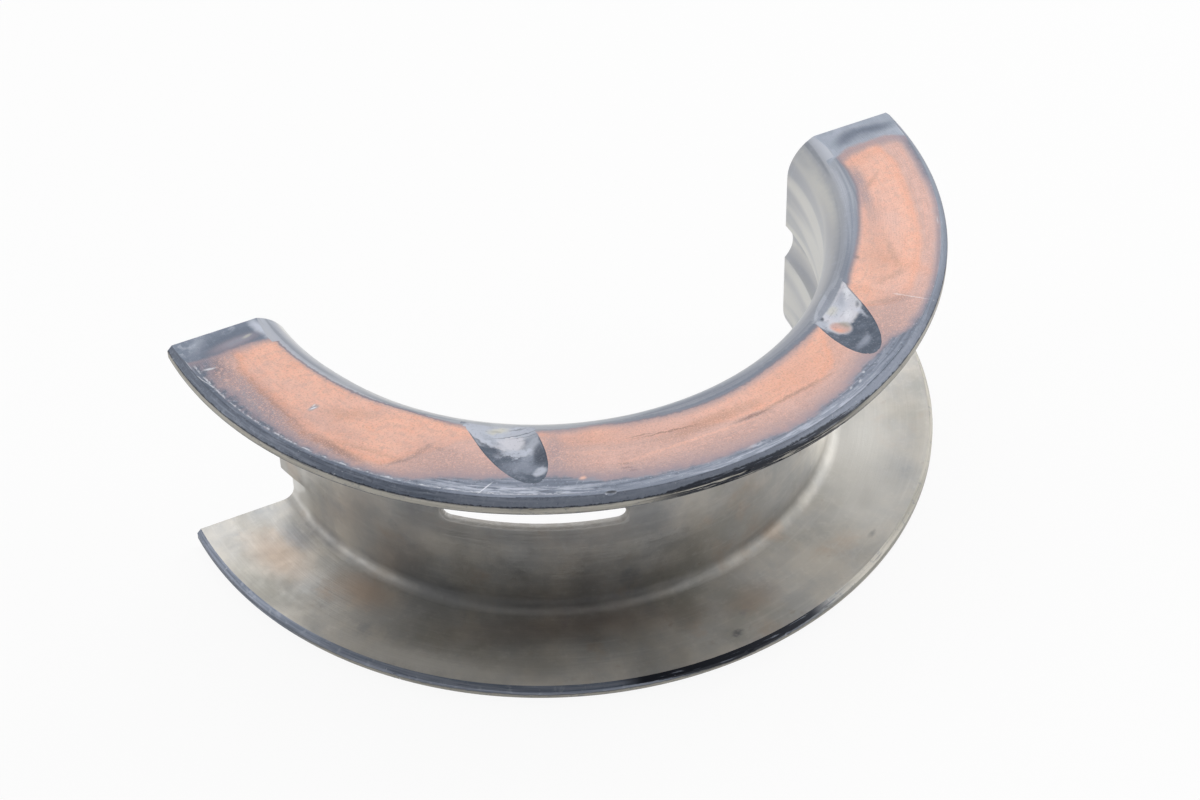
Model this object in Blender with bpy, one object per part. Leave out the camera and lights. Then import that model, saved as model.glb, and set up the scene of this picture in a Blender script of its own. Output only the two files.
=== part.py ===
"""Flanged half shell of an engine's main bearing, pressed from one lined steel strip.

The shell is half of a thin tube with a half-ring flange at each end. The bearing's
axis stands upright, the crown of the shell faces -Y and the two parting faces look
along +Y. Every length is in metres and every angle in degrees. The shapes are made
about the bearing's axis, and the finished object is then moved so that the middle
of its footprint is at the origin, with the lower thrust face on the ground.
"""

import math

import bmesh
import bpy
from mathutils import Matrix, Vector

# The shell and its flanges
FLANGE_DIAMETER = 0.120
HOUSING_DIAMETER = 0.088
WALL = 0.00225
WIDTH = 0.040
FLANGE_THICKNESS = 0.00285
BACK_FILLET = 0.0019

# Edges of the flanges
THRUST_CHAMFER = 0.001
BACK_BEVEL_IN = 0.0006
BACK_BEVEL_UP = 0.0007
INNER_RADIUS = 0.0046

# The inner edges are eased further towards the parting faces
EASED_RADIUS = 0.007
EASED_DEPTH = 0.0068
EASED_FADE = 0.003

# Oil groove round the bore, and the slot that feeds it through the wall
OIL_GROOVE_WIDTH = 0.0064
OIL_GROOVE_DEPTH = 0.0014
OIL_GROOVE_RISE = 0.0005
SLOT_WIDTH = 0.0026
SLOT_LENGTH = 0.0272
SLOT_CENTRE = 28.75
SLOT_CHAMFER = 0.0005

# Scooped oil grooves across each thrust face
SCOOP_WIDTH = 0.0083
SCOOP_DEPTH = 0.0006
SCOOP_RUNOUT = 0.0105
SCOOP_TIP_RADIUS = 0.0561
SCOOP_PLACES = (-0.02515, 0.0283)

# Relief of the thrust faces beside the parting faces
RELIEF_LENGTH = 0.0048
RELIEF_DEPTH = 0.00025

# Locating lug, pressed out of the wall at one parting face
LUG_WIDTH = 0.0052
LUG_DROP = 0.0078
LUG_LENGTH = 0.0072
LUG_RISE = 0.0016
LUG_SLOPE = 0.0009

# Smoothness of the round shapes
STEPS_ROUND = 64
STEPS_EDGE = 8
STEPS_FILLET = 5
STEPS_GROOVE = 8
STEPS_SCOOP = 8
STEPS_SLOT_END = 6

# How far a cutter reaches past the surface it cuts
CUT_MARGIN = 0.0015

# What follows from the sizes above
FLANGE_RADIUS = FLANGE_DIAMETER / 2
BACK_RADIUS = HOUSING_DIAMETER / 2
BORE_RADIUS = BACK_RADIUS - WALL
HALF_WIDTH = WIDTH / 2


def groove_depth(height):
    """Depth of the oil groove at a height above the middle of the shell."""
    half = OIL_GROOVE_WIDTH / 2
    across = abs(height - OIL_GROOVE_RISE)
    if across >= half:
        return 0.0
    radius = (half ** 2 + OIL_GROOVE_DEPTH ** 2) / (2 * OIL_GROOVE_DEPTH)
    return math.sqrt(radius ** 2 - across ** 2) - (radius - OIL_GROOVE_DEPTH)


def lug_heights():
    """The four heights at which the lug's ends start and stop."""
    low = -LUG_DROP - LUG_WIDTH / 2
    high = -LUG_DROP + LUG_WIDTH / 2
    return [low - LUG_SLOPE, low, high, high + LUG_SLOPE]


def inner_edge():
    """Radius and depth below the thrust face, from the bore up to the face."""
    points = [(BORE_RADIUS, EASED_DEPTH), (BORE_RADIUS, (EASED_DEPTH + INNER_RADIUS) / 2)]
    for step in range(STEPS_EDGE + 1):
        turn = math.pi / 2 * step / STEPS_EDGE
        radius = BORE_RADIUS + INNER_RADIUS * (1 - math.cos(turn))
        points.append((radius, INNER_RADIUS * (1 - math.sin(turn))))
    return points


def outer_edge():
    """Radius and depth below the thrust face, round the rim to the back of the flange."""
    return [
        (FLANGE_RADIUS - THRUST_CHAMFER, 0.0),
        (FLANGE_RADIUS, THRUST_CHAMFER),
        (FLANGE_RADIUS, FLANGE_THICKNESS - BACK_BEVEL_UP),
        (FLANGE_RADIUS - BACK_BEVEL_IN, FLANGE_THICKNESS),
    ]


def back_fillet():
    """Radius and depth of the hollow corner between the flange and the shell's back."""
    points = []
    for step in range(STEPS_FILLET + 1):
        turn = math.pi / 2 * step / STEPS_FILLET
        radius = BACK_RADIUS + BACK_FILLET * (1 - math.sin(turn))
        points.append((radius, FLANGE_THICKNESS + BACK_FILLET * (1 - math.cos(turn))))
    return points


def shell_section():
    """Outline of the cut at a parting face, as radius and height, once round."""
    flange = inner_edge() + outer_edge() + back_fillet()
    groove_heights = [
        OIL_GROOVE_RISE + OIL_GROOVE_WIDTH * (step / STEPS_GROOVE - 0.5)
        for step in range(STEPS_GROOVE + 1)
    ]
    bore_heights = sorted(groove_heights + lug_heights())
    outline = [(BORE_RADIUS + groove_depth(height), height) for height in bore_heights]
    outline += [(radius, HALF_WIDTH - depth) for radius, depth in flange]
    outline += [(BACK_RADIUS, height) for height in reversed(lug_heights())]
    outline += [(radius, depth - HALF_WIDTH) for radius, depth in reversed(flange)]
    return outline


def ease_inner_edges(mesh):
    """Widen the rounded inner edges towards the parting faces, where the shell is eased."""
    for vertex in mesh.verts:
        radius = math.hypot(vertex.co.x, vertex.co.y)
        depth = HALF_WIDTH - abs(vertex.co.z)
        if depth >= EASED_DEPTH or radius > BORE_RADIUS + INNER_RADIUS * 1.001:
            continue
        fade = EASED_FADE * -vertex.co.y / radius
        drop = math.sqrt(EASED_RADIUS ** 2 - min(EASED_DEPTH - depth, EASED_RADIUS) ** 2)
        eased = BORE_RADIUS + EASED_RADIUS - drop - fade
        if eased > radius:
            vertex.co.x *= eased / radius
            vertex.co.y *= eased / radius


def press_lug(mesh):
    """Push the wall outwards at the -X parting face, bore and back alike."""
    low, low_top, high_top, high = lug_heights()
    for vertex in mesh.verts:
        radius = math.hypot(vertex.co.x, vertex.co.y)
        along = radius * math.asin(min(1.0, -vertex.co.y / radius))
        if vertex.co.x > 0 or along >= LUG_LENGTH or radius > BACK_RADIUS * 1.001:
            continue
        if low < vertex.co.z < high:
            rise = LUG_RISE * (1 - along / LUG_LENGTH)
            vertex.co.x *= (radius + rise) / radius
            vertex.co.y *= (radius + rise) / radius


def shell_mesh():
    """Turn the section half way round the axis, then ease and press it."""
    mesh = bmesh.new()
    corners = [mesh.verts.new((radius, 0.0, height)) for radius, height in shell_section()]
    face = mesh.faces.new(corners)
    bmesh.ops.spin(
        mesh,
        geom=[face] + list(face.edges) + list(face.verts),
        axis=(0, 0, 1),
        cent=(0, 0, 0),
        angle=-math.pi,
        steps=STEPS_ROUND,
    )
    ease_inner_edges(mesh)
    press_lug(mesh)
    return mesh


def scoop_section(face_height):
    """Rounded section of a scooped groove, closed above the thrust face."""
    half = SCOOP_WIDTH / 2
    radius = (half ** 2 + SCOOP_DEPTH ** 2) / (2 * SCOOP_DEPTH)
    reach = math.asin(half / radius)
    points = []
    for step in range(STEPS_SCOOP + 1):
        turn = reach * (2 * step / STEPS_SCOOP - 1)
        lift = radius * (1 - math.cos(turn)) - SCOOP_DEPTH
        points.append((radius * math.sin(turn), face_height + lift))
    points += [(half, face_height + CUT_MARGIN), (-half, face_height + CUT_MARGIN)]
    return points


def scoop_mesh(place, side):
    """Cutter of one scooped groove: straight from the bore, then rising to its tip."""
    mesh = bmesh.new()
    outermost = abs(place) + SCOOP_WIDTH / 2
    start = -math.sqrt(max(BORE_RADIUS ** 2 - outermost ** 2, 0.0)) + 2 * CUT_MARGIN
    bend = -math.sqrt(SCOOP_TIP_RADIUS ** 2 - place ** 2) + SCOOP_RUNOUT
    corners = [mesh.verts.new((place + across, start, height))
               for across, height in scoop_section(HALF_WIDTH)]
    face = mesh.faces.new(corners)
    straight = bmesh.ops.extrude_face_region(mesh, geom=[face])
    moved = [item for item in straight["geom"] if isinstance(item, bmesh.types.BMVert)]
    bmesh.ops.translate(mesh, verts=moved, vec=(0, bend - start, 0))
    end = [item for item in straight["geom"] if isinstance(item, bmesh.types.BMFace)][0]
    sweep = (SCOOP_RUNOUT ** 2 + SCOOP_DEPTH ** 2) / (2 * SCOOP_DEPTH)
    climb = math.acos(1 - (SCOOP_DEPTH + CUT_MARGIN / 2) / sweep)
    bmesh.ops.spin(
        mesh,
        geom=[end] + list(end.edges) + list(end.verts),
        axis=(1, 0, 0),
        cent=(0, bend, HALF_WIDTH - SCOOP_DEPTH + sweep),
        angle=-climb,
        steps=STEPS_SCOOP,
    )
    if side < 0:
        bmesh.ops.transform(mesh, matrix=Matrix.Scale(-1, 4, Vector((0, 0, 1))), verts=mesh.verts)
    return mesh


def slot_outline(grown):
    """Stations along the oil slot, each with its half height, the slot grown all round."""
    end_radius = SLOT_WIDTH / 2 + grown
    middle = (SLOT_LENGTH - SLOT_WIDTH) / 2
    ends = [math.pi / 2 * step / STEPS_SLOT_END for step in range(STEPS_SLOT_END + 1)]
    right = [(-middle - end_radius * math.cos(turn), end_radius * math.sin(turn)) for turn in ends]
    left = [(-along, half) for along, half in reversed(right)]
    steps_between = 2 * STEPS_SLOT_END
    between = [(middle * (2 * step / steps_between - 1), end_radius)
               for step in range(1, steps_between)]
    return right + between + left


def slot_mesh():
    """Cutter of the oil slot: round-ended, wrapped round the axis, flared at the back."""
    mesh = bmesh.new()
    flare = SLOT_CHAMFER + CUT_MARGIN
    levels = [(BORE_RADIUS - CUT_MARGIN, 0.0), (BACK_RADIUS - SLOT_CHAMFER, 0.0),
              (BACK_RADIUS + CUT_MARGIN, flare)]
    outlines = [slot_outline(grown) for _, grown in levels]
    rings = []
    for stations in zip(*outlines):
        lower = []
        upper = []
        for (radius, _), (along, half) in zip(levels, stations):
            turn = math.radians(-90 - SLOT_CENTRE) + along / BACK_RADIUS
            across, deep = radius * math.cos(turn), radius * math.sin(turn)
            lower.append(mesh.verts.new((across, deep, OIL_GROOVE_RISE - half)))
            upper.append(mesh.verts.new((across, deep, OIL_GROOVE_RISE + half)))
        rings.append(lower + upper[::-1])
    for near, far in zip(rings, rings[1:]):
        for index in range(len(near)):
            following = (index + 1) % len(near)
            mesh.faces.new((near[index], near[following], far[following], far[index]))
    bmesh.ops.remove_doubles(mesh, verts=mesh.verts, dist=1e-6)
    return mesh


def relief_mesh(side):
    """Wedge that lowers a thrust face from the relief's edge to the parting faces."""
    mesh = bmesh.new()
    slope = RELIEF_DEPTH / RELIEF_LENGTH
    profile = [
        (-RELIEF_LENGTH, HALF_WIDTH),
        (CUT_MARGIN, HALF_WIDTH - slope * (RELIEF_LENGTH + CUT_MARGIN)),
        (CUT_MARGIN, HALF_WIDTH + CUT_MARGIN),
        (-RELIEF_LENGTH, HALF_WIDTH + CUT_MARGIN),
    ]
    reach = FLANGE_RADIUS + CUT_MARGIN
    corners = [mesh.verts.new((-reach, along, side * height)) for along, height in profile]
    face = mesh.faces.new(corners)
    grown = bmesh.ops.extrude_face_region(mesh, geom=[face])
    moved = [item for item in grown["geom"] if isinstance(item, bmesh.types.BMVert)]
    bmesh.ops.translate(mesh, verts=moved, vec=(2 * reach, 0, 0))
    return mesh


def finish_material(name, colour, roughness, metallic):
    """One plain metal finish."""
    material = bpy.data.materials.new(name)
    material.use_nodes = True
    shader = material.node_tree.nodes["Principled BSDF"]
    shader.inputs["Base Color"].default_value = (*colour, 1.0)
    shader.inputs["Roughness"].default_value = roughness
    shader.inputs["Metallic"].default_value = metallic
    return material


def add_object(name, mesh):
    """Put a finished mesh in the scene, standing on the ground over the origin."""
    bmesh.ops.recalc_face_normals(mesh, faces=mesh.faces)
    data = bpy.data.meshes.new(name)
    mesh.to_mesh(data)
    mesh.free()
    added = bpy.data.objects.new(name, data)
    added.location = (0, FLANGE_RADIUS / 2, HALF_WIDTH)
    bpy.context.collection.objects.link(added)
    return added


def cut(target, name, mesh):
    """Take a cutter's shape out of the target."""
    cutter = add_object(name, mesh)
    cutter.hide_render = True
    cutter.display_type = "WIRE"
    step = target.modifiers.new(name, "BOOLEAN")
    step.operation = "DIFFERENCE"
    step.object = cutter


def paint_thrust_faces(shell):
    """Give the flat outer faces of both flanges the second finish."""
    for polygon in shell.data.polygons:
        on_face = abs(abs(polygon.center.z) - HALF_WIDTH) < CUT_MARGIN / 100
        polygon.material_index = 1 if on_face else 0


def build_bearing_shell():
    """The whole part: the turned shell with its grooves, slot and reliefs cut."""
    shell = add_object("bearing_shell", shell_mesh())
    shell.data.materials.append(finish_material("steel_back", (0.46, 0.44, 0.40), 0.42, 0.9))
    shell.data.materials.append(finish_material("worn_lining", (0.72, 0.36, 0.22), 0.55, 0.6))
    paint_thrust_faces(shell)
    shell.data.shade_smooth()
    shell.data.set_sharp_from_angle(angle=math.radians(25))
    cut(shell, "slot_cutter", slot_mesh())
    for side, word in ((1, "upper"), (-1, "lower")):
        cut(shell, word + "_relief_cutter", relief_mesh(side))
        for number, place in enumerate(SCOOP_PLACES, start=1):
            cut(shell, word + "_scoop_cutter_" + str(number), scoop_mesh(place, side))
    return shell


for leftover in list(bpy.data.objects):
    bpy.data.objects.remove(leftover)
build_bearing_shell()
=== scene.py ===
import math

import bmesh
import bpy
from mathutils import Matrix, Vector


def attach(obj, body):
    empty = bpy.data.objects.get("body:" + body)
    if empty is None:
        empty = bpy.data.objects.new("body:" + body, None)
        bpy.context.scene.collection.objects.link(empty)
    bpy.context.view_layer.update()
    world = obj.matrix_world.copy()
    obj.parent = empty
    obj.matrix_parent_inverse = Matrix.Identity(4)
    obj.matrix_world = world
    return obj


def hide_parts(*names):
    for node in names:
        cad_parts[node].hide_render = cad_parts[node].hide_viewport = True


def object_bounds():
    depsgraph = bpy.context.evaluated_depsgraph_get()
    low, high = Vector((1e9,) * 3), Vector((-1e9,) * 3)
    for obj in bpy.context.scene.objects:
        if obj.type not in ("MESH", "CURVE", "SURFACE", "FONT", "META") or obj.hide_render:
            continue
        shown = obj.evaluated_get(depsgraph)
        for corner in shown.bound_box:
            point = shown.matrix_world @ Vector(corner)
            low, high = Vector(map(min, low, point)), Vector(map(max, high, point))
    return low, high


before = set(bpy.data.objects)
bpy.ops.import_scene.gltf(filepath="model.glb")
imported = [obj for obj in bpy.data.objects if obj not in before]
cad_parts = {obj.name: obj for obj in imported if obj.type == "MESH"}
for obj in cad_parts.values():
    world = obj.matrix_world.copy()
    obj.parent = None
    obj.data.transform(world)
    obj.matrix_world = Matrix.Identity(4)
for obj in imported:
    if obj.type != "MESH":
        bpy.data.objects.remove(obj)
cad_low, cad_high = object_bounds()

# The flanged half shell of an engine's main bearing, finished as it came off an engine:
# thrust faces worn through a grey overlay to the copper lining, a bare steel back and
# a grey plated bore. Lengths are in metres, and in millimetres inside the materials.

# Sizes that the frame gives
FLANGE_RADIUS = (cad_high.x - cad_low.x) / 2
WIDTH = cad_high.z - cad_low.z
AXIS_Y = cad_high.y
MID_HEIGHT = (cad_low.z + cad_high.z) / 2

# Sizes of the section, as in the solid
BACK_RADIUS = 0.044
WALL = 0.00225
BORE_RADIUS = BACK_RADIUS - WALL
FLANGE_THICKNESS = 0.00285
BACK_FILLET = 0.0019
THRUST_CHAMFER = 0.001
BACK_BEVEL = 0.00065
EDGE_BREAK = 0.00012
INNER_RADIUS = 0.0046

# Easing of the inner edges towards the parting faces
EASED_RADIUS = 0.007
EASED_DEPTH = 0.0068
EASED_FADE = 0.003

# Oil groove, oil slot and scooped grooves
GROOVE_WIDTH = 0.0064
GROOVE_DEPTH = 0.0014
GROOVE_RISE = 0.0005
SLOT_WIDTH = 0.0026
SLOT_LENGTH = 0.0272
SLOT_CENTRE = 28.75
SLOT_ROLL = 0.0005
SCOOP_WIDTH = 0.0083
SCOOP_DEPTH = 0.0006
SCOOP_RUNOUT = 0.0105
SCOOP_TIP_RADIUS = 0.0561
SCOOP_PLACES = (-0.02515, 0.0283)

# Reliefs beside the parting faces, and the locating lug
RELIEF_LENGTH = 0.0048
RELIEF_DEPTH = 0.00025
LUG_WIDTH = 0.0052
LUG_DROP = 0.0078
LUG_LENGTH = 0.0072
LUG_RISE = 0.0016
LUG_SLOPE = 0.0009

# How finely the round shapes are cut, and how far a cutter passes what it cuts
STEPS_ROUND = 256
STEPS_EDGE = 14
STEPS_FILLET = 8
STEPS_ROLL = 4
STEPS_TUBE = 64
STEPS_HOLLOW = 128
STEPS_SCOOP = 14
STEPS_SLOT = 48
CUT_MARGIN = 0.0015

# Nicks on the flange edges: side of the flange, degrees from the crown towards +X,
# how far from the thrust face, and the nick's size
NICKS = (
    (1, -17.1, 0.0000, 0.00042),
    (1, -27.5, 0.0011, 0.00030),
    (1, -23.0, 0.0012, 0.00026),
    (1, -8.5, 0.0011, 0.00034),
    (1, -2.0, 0.0020, 0.00046),
    (1, 1.5, 0.0013, 0.00038),
    (1, 6.5, 0.0021, 0.00044),
    (1, 12.0, 0.0012, 0.00030),
    (1, 17.5, 0.0021, 0.00036),
    (-1, -66.0, 0.0027, 0.00034),
    (-1, -62.0, 0.0027, 0.00030),
    (-1, -52.5, 0.0026, 0.00030),
    (-1, -48.0, 0.0020, 0.00036),
    (-1, 2.5, 0.0022, 0.00050),
    (-1, 9.0, 0.0019, 0.00042),
    (-1, 16.0, 0.0023, 0.00038),
)


# Modelling

def start_edit(piece, kind="FACE"):
    """Open one piece in edit mode with nothing on it selected."""
    bpy.ops.object.select_all(action="DESELECT")
    piece.select_set(True)
    bpy.context.view_layer.objects.active = piece
    bpy.ops.object.mode_set(mode="EDIT")
    bpy.ops.mesh.select_mode(type=kind)
    bpy.ops.mesh.select_all(action="DESELECT")


def end_edit():
    bpy.ops.object.mode_set(mode="OBJECT")


def pick_corners(piece, wanted):
    """Select the corners whose place passes the test."""
    mesh = bmesh.from_edit_mesh(piece.data)
    for corner in mesh.verts:
        corner.select_set(wanted(corner.co))
    mesh.select_flush_mode()
    bmesh.update_edit_mesh(piece.data)


def pick_edges(piece, wanted):
    """Select the edges whose middle passes the test."""
    mesh = bmesh.from_edit_mesh(piece.data)
    for edge in mesh.edges:
        edge.select_set(wanted((edge.verts[0].co + edge.verts[1].co) / 2))
    bmesh.update_edit_mesh(piece.data)


def set_down(piece, name):
    """Name a new primitive and put its place and size into its mesh."""
    piece.name = name
    bpy.ops.object.transform_apply(location=True, rotation=True, scale=True)
    return piece


def tidy_surface():
    """Merge doubled corners and point every face outwards, in edit mode."""
    bpy.ops.mesh.select_all(action="SELECT")
    bpy.ops.mesh.remove_doubles(threshold=1e-6)
    bpy.ops.mesh.normals_make_consistent(inside=False)


def near(value, target):
    return abs(value - target) < 2e-5


def round_corners(piece, radius, heights, size, steps):
    """Round the section's corners that lie at this radius and these heights."""
    pick_corners(piece, lambda p: near(p.x, radius) and any(near(p.z, h) for h in heights))
    bpy.ops.mesh.bevel(
        offset=size, segments=steps, profile=0.5, affect="VERTICES", clamp_overlap=False
    )


def section_face():
    """The cut at the right parting face: a wall with a flange at each end."""
    middle = (BORE_RADIUS + BACK_RADIUS) / 2
    bpy.ops.mesh.primitive_plane_add(
        size=1, location=(middle, AXIS_Y, MID_HEIGHT), rotation=(math.pi / 2, 0, 0)
    )
    section = bpy.context.active_object
    section.scale = (WALL, WIDTH, 1)
    set_down(section, "lined_shell")
    start_edit(section, "EDGE")
    for height in (FLANGE_THICKNESS, WIDTH - FLANGE_THICKNESS):
        bpy.ops.mesh.select_all(action="SELECT")
        bpy.ops.mesh.bisect(plane_co=(0, 0, height), plane_no=(0, 0, 1))
    pick_edges(section, lambda p: near(p.x, BACK_RADIUS)
               and abs(p.z - MID_HEIGHT) > WIDTH / 2 - FLANGE_THICKNESS)
    bpy.ops.mesh.extrude_region_move(
        TRANSFORM_OT_translate={"value": (FLANGE_RADIUS - BACK_RADIUS, 0, 0)}
    )
    bpy.ops.mesh.select_all(action="SELECT")
    bpy.ops.mesh.dissolve_limited(angle_limit=math.radians(1))
    bpy.ops.mesh.select_mode(type="VERT")
    ends = (0.0, WIDTH)
    backs = (FLANGE_THICKNESS, WIDTH - FLANGE_THICKNESS)
    round_corners(section, BORE_RADIUS, ends, INNER_RADIUS, STEPS_EDGE)
    round_corners(section, BACK_RADIUS, backs, BACK_FILLET, STEPS_FILLET)
    round_corners(section, FLANGE_RADIUS, ends, THRUST_CHAMFER, 1)
    round_corners(section, FLANGE_RADIUS, backs, BACK_BEVEL, 1)
    chamfer = (THRUST_CHAMFER, WIDTH - THRUST_CHAMFER)
    round_corners(section, FLANGE_RADIUS, chamfer, EDGE_BREAK, 2)
    round_corners(section, FLANGE_RADIUS - THRUST_CHAMFER, ends, EDGE_BREAK, 2)
    end_edit()
    return section


def lug_heights():
    """The four heights at which the lug's two ends start and stop."""
    low = MID_HEIGHT - LUG_DROP - LUG_WIDTH / 2
    high = low + LUG_WIDTH
    return (low - LUG_SLOPE, low, high, high + LUG_SLOPE)


def turn_half_round(section):
    """Turn the section half way round the axis, and ring it where it is shaped further."""
    start_edit(section)
    bpy.ops.mesh.select_all(action="SELECT")
    bpy.ops.mesh.spin(
        steps=STEPS_ROUND, angle=math.pi, center=(0, AXIS_Y, 0), axis=(0, 0, 1)
    )
    tidy_surface()
    rings = list(lug_heights())
    beside_slot = SLOT_WIDTH / 2 + SLOT_ROLL * 1.3
    rings += [MID_HEIGHT + GROOVE_RISE - beside_slot, MID_HEIGHT + GROOVE_RISE + beside_slot]
    for share in (0.25, 0.5, 0.75, 1.0):
        depth = INNER_RADIUS + (EASED_DEPTH - INNER_RADIUS) * share
        rings += [depth, WIDTH - depth]
    for height in rings:
        bpy.ops.mesh.select_all(action="SELECT")
        bpy.ops.mesh.bisect(plane_co=(0, 0, height), plane_no=(0, 0, 1))
    end_edit()
    return section


def ease_inner_edges(shell):
    """Widen the rounded inner edges towards the parting faces."""
    for corner in shell.data.vertices:
        place = corner.co - Vector((0, AXIS_Y, 0))
        radius = math.hypot(place.x, place.y)
        depth = min(place.z, WIDTH - place.z)
        if depth >= EASED_DEPTH or radius > BORE_RADIUS + INNER_RADIUS * 1.001:
            continue
        fade = EASED_FADE * -place.y / radius
        drop = math.sqrt(EASED_RADIUS ** 2 - min(EASED_DEPTH - depth, EASED_RADIUS) ** 2)
        eased = BORE_RADIUS + EASED_RADIUS - drop - fade
        if eased > radius:
            corner.co.x = place.x * eased / radius
            corner.co.y = AXIS_Y + place.y * eased / radius


def press_lug(shell):
    """Push the wall outwards at the left parting face, bore and back alike."""
    low, high = lug_heights()[0], lug_heights()[-1]
    for corner in shell.data.vertices:
        place = corner.co - Vector((0, AXIS_Y, 0))
        radius = math.hypot(place.x, place.y)
        along = radius * math.asin(max(-1.0, min(1.0, -place.y / radius)))
        if place.x > 0 or along >= LUG_LENGTH or radius > BACK_RADIUS * 1.001:
            continue
        if low < place.z < high:
            ease = min((place.z - low) / LUG_SLOPE, (high - place.z) / LUG_SLOPE, 1.0)
            wide = radius + LUG_RISE * (1 - along / LUG_LENGTH) * ease
            corner.co.x = place.x * wide / radius
            corner.co.y = AXIS_Y + place.y * wide / radius


def relief_cutter(side):
    """A block laid on the slope that lowers a thrust face towards the parting faces."""
    slope = math.atan(RELIEF_DEPTH / RELIEF_LENGTH)
    long = RELIEF_LENGTH + CUT_MARGIN
    thick = 2 * CUT_MARGIN
    start = Vector((0, AXIS_Y - RELIEF_LENGTH, WIDTH))
    forward = Vector((0, math.cos(slope), -math.sin(slope)))
    up = Vector((0, math.sin(slope), math.cos(slope)))
    bpy.ops.mesh.primitive_cube_add(
        size=1, location=start + forward * long / 2 + up * thick / 2, rotation=(-slope, 0, 0)
    )
    cutter = bpy.context.active_object
    cutter.scale = (2 * FLANGE_RADIUS + 4 * CUT_MARGIN, long, thick)
    set_down(cutter, "relief_cutter")
    if side < 0:
        start_edit(cutter)
        bpy.ops.mesh.select_all(action="SELECT")
        bpy.ops.transform.resize(value=(1, 1, -1), center_override=(0, 0, MID_HEIGHT))
        tidy_surface()
        end_edit()
    return cutter


def groove_cutter():
    """A ring whose tube sinks into the bore as deep as the oil groove."""
    tube = ((GROOVE_WIDTH / 2) ** 2 + GROOVE_DEPTH ** 2) / (2 * GROOVE_DEPTH)
    bpy.ops.mesh.primitive_torus_add(
        location=(0, AXIS_Y, MID_HEIGHT + GROOVE_RISE),
        major_radius=BORE_RADIUS + GROOVE_DEPTH - tube,
        minor_radius=tube,
        major_segments=STEPS_ROUND * 2,
        minor_segments=STEPS_TUBE,
    )
    return set_down(bpy.context.active_object, "groove_cutter")


def scoop_cutter(place, side):
    """A round-bottomed cutter, straight from the bore and rising to its tip."""
    hollow = ((SCOOP_WIDTH / 2) ** 2 + SCOOP_DEPTH ** 2) / (2 * SCOOP_DEPTH)
    outermost = abs(place) + SCOOP_WIDTH / 2
    start = -math.sqrt(max(BORE_RADIUS ** 2 - outermost ** 2, 0.0)) + 2 * CUT_MARGIN
    bend = -math.sqrt(SCOOP_TIP_RADIUS ** 2 - place ** 2) + SCOOP_RUNOUT
    bpy.ops.mesh.primitive_circle_add(
        vertices=STEPS_HOLLOW,
        radius=hollow,
        fill_type="NGON",
        location=(place, AXIS_Y + start, WIDTH - SCOOP_DEPTH + hollow),
        rotation=(math.pi / 2, 0, 0),
    )
    cutter = set_down(bpy.context.active_object, "scoop_cutter")
    start_edit(cutter)
    bpy.ops.mesh.select_all(action="SELECT")
    bpy.ops.mesh.bisect(
        plane_co=(0, 0, WIDTH + CUT_MARGIN), plane_no=(0, 0, 1), clear_outer=True
    )
    bpy.ops.mesh.select_all(action="SELECT")
    bpy.ops.mesh.extrude_region_move(
        TRANSFORM_OT_translate={"value": (0, bend - start, 0)}
    )
    sweep = (SCOOP_RUNOUT ** 2 + SCOOP_DEPTH ** 2) / (2 * SCOOP_DEPTH)
    climb = math.acos(1 - (SCOOP_DEPTH + CUT_MARGIN / 2) / sweep)
    bpy.ops.mesh.spin(
        steps=STEPS_SCOOP,
        angle=climb,
        center=(place, AXIS_Y + bend, WIDTH - SCOOP_DEPTH + sweep),
        axis=(1, 0, 0),
    )
    if side < 0:
        bpy.ops.mesh.select_all(action="SELECT")
        bpy.ops.transform.resize(value=(1, 1, -1), center_override=(0, 0, MID_HEIGHT))
    tidy_surface()
    end_edit()
    return cutter


def flare_outwards(cutter, turn, height):
    """Widen a cutter in steps where it leaves the shell's back, which rolls the cut's edge."""
    outward = Vector((math.cos(turn), math.sin(turn), 0))
    axis = Vector((0, AXIS_Y, height))
    start = BACK_RADIUS - SLOT_ROLL
    stations = [(start, SLOT_WIDTH / 2)]
    for step in range(1, STEPS_ROLL + 1):
        angle = math.radians(80) * step / STEPS_ROLL
        stations.append((start + SLOT_ROLL * math.sin(angle),
                         SLOT_WIDTH / 2 + SLOT_ROLL * (1 - math.cos(angle))))
    stations.append((BACK_RADIUS + SLOT_ROLL / 2, SLOT_WIDTH / 2 + SLOT_ROLL * 3))
    start_edit(cutter, "VERT")
    pick_corners(cutter, lambda p: (p - axis).dot(outward) > start - 1e-5)
    for (radius, half), (next_radius, next_half) in zip(stations, stations[1:]):
        step_out = outward * (next_radius - radius)
        bpy.ops.mesh.extrude_region_move(TRANSFORM_OT_translate={"value": step_out})
        bpy.ops.transform.resize(
            value=(next_half / half,) * 3, center_override=axis + outward * next_radius
        )


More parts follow.
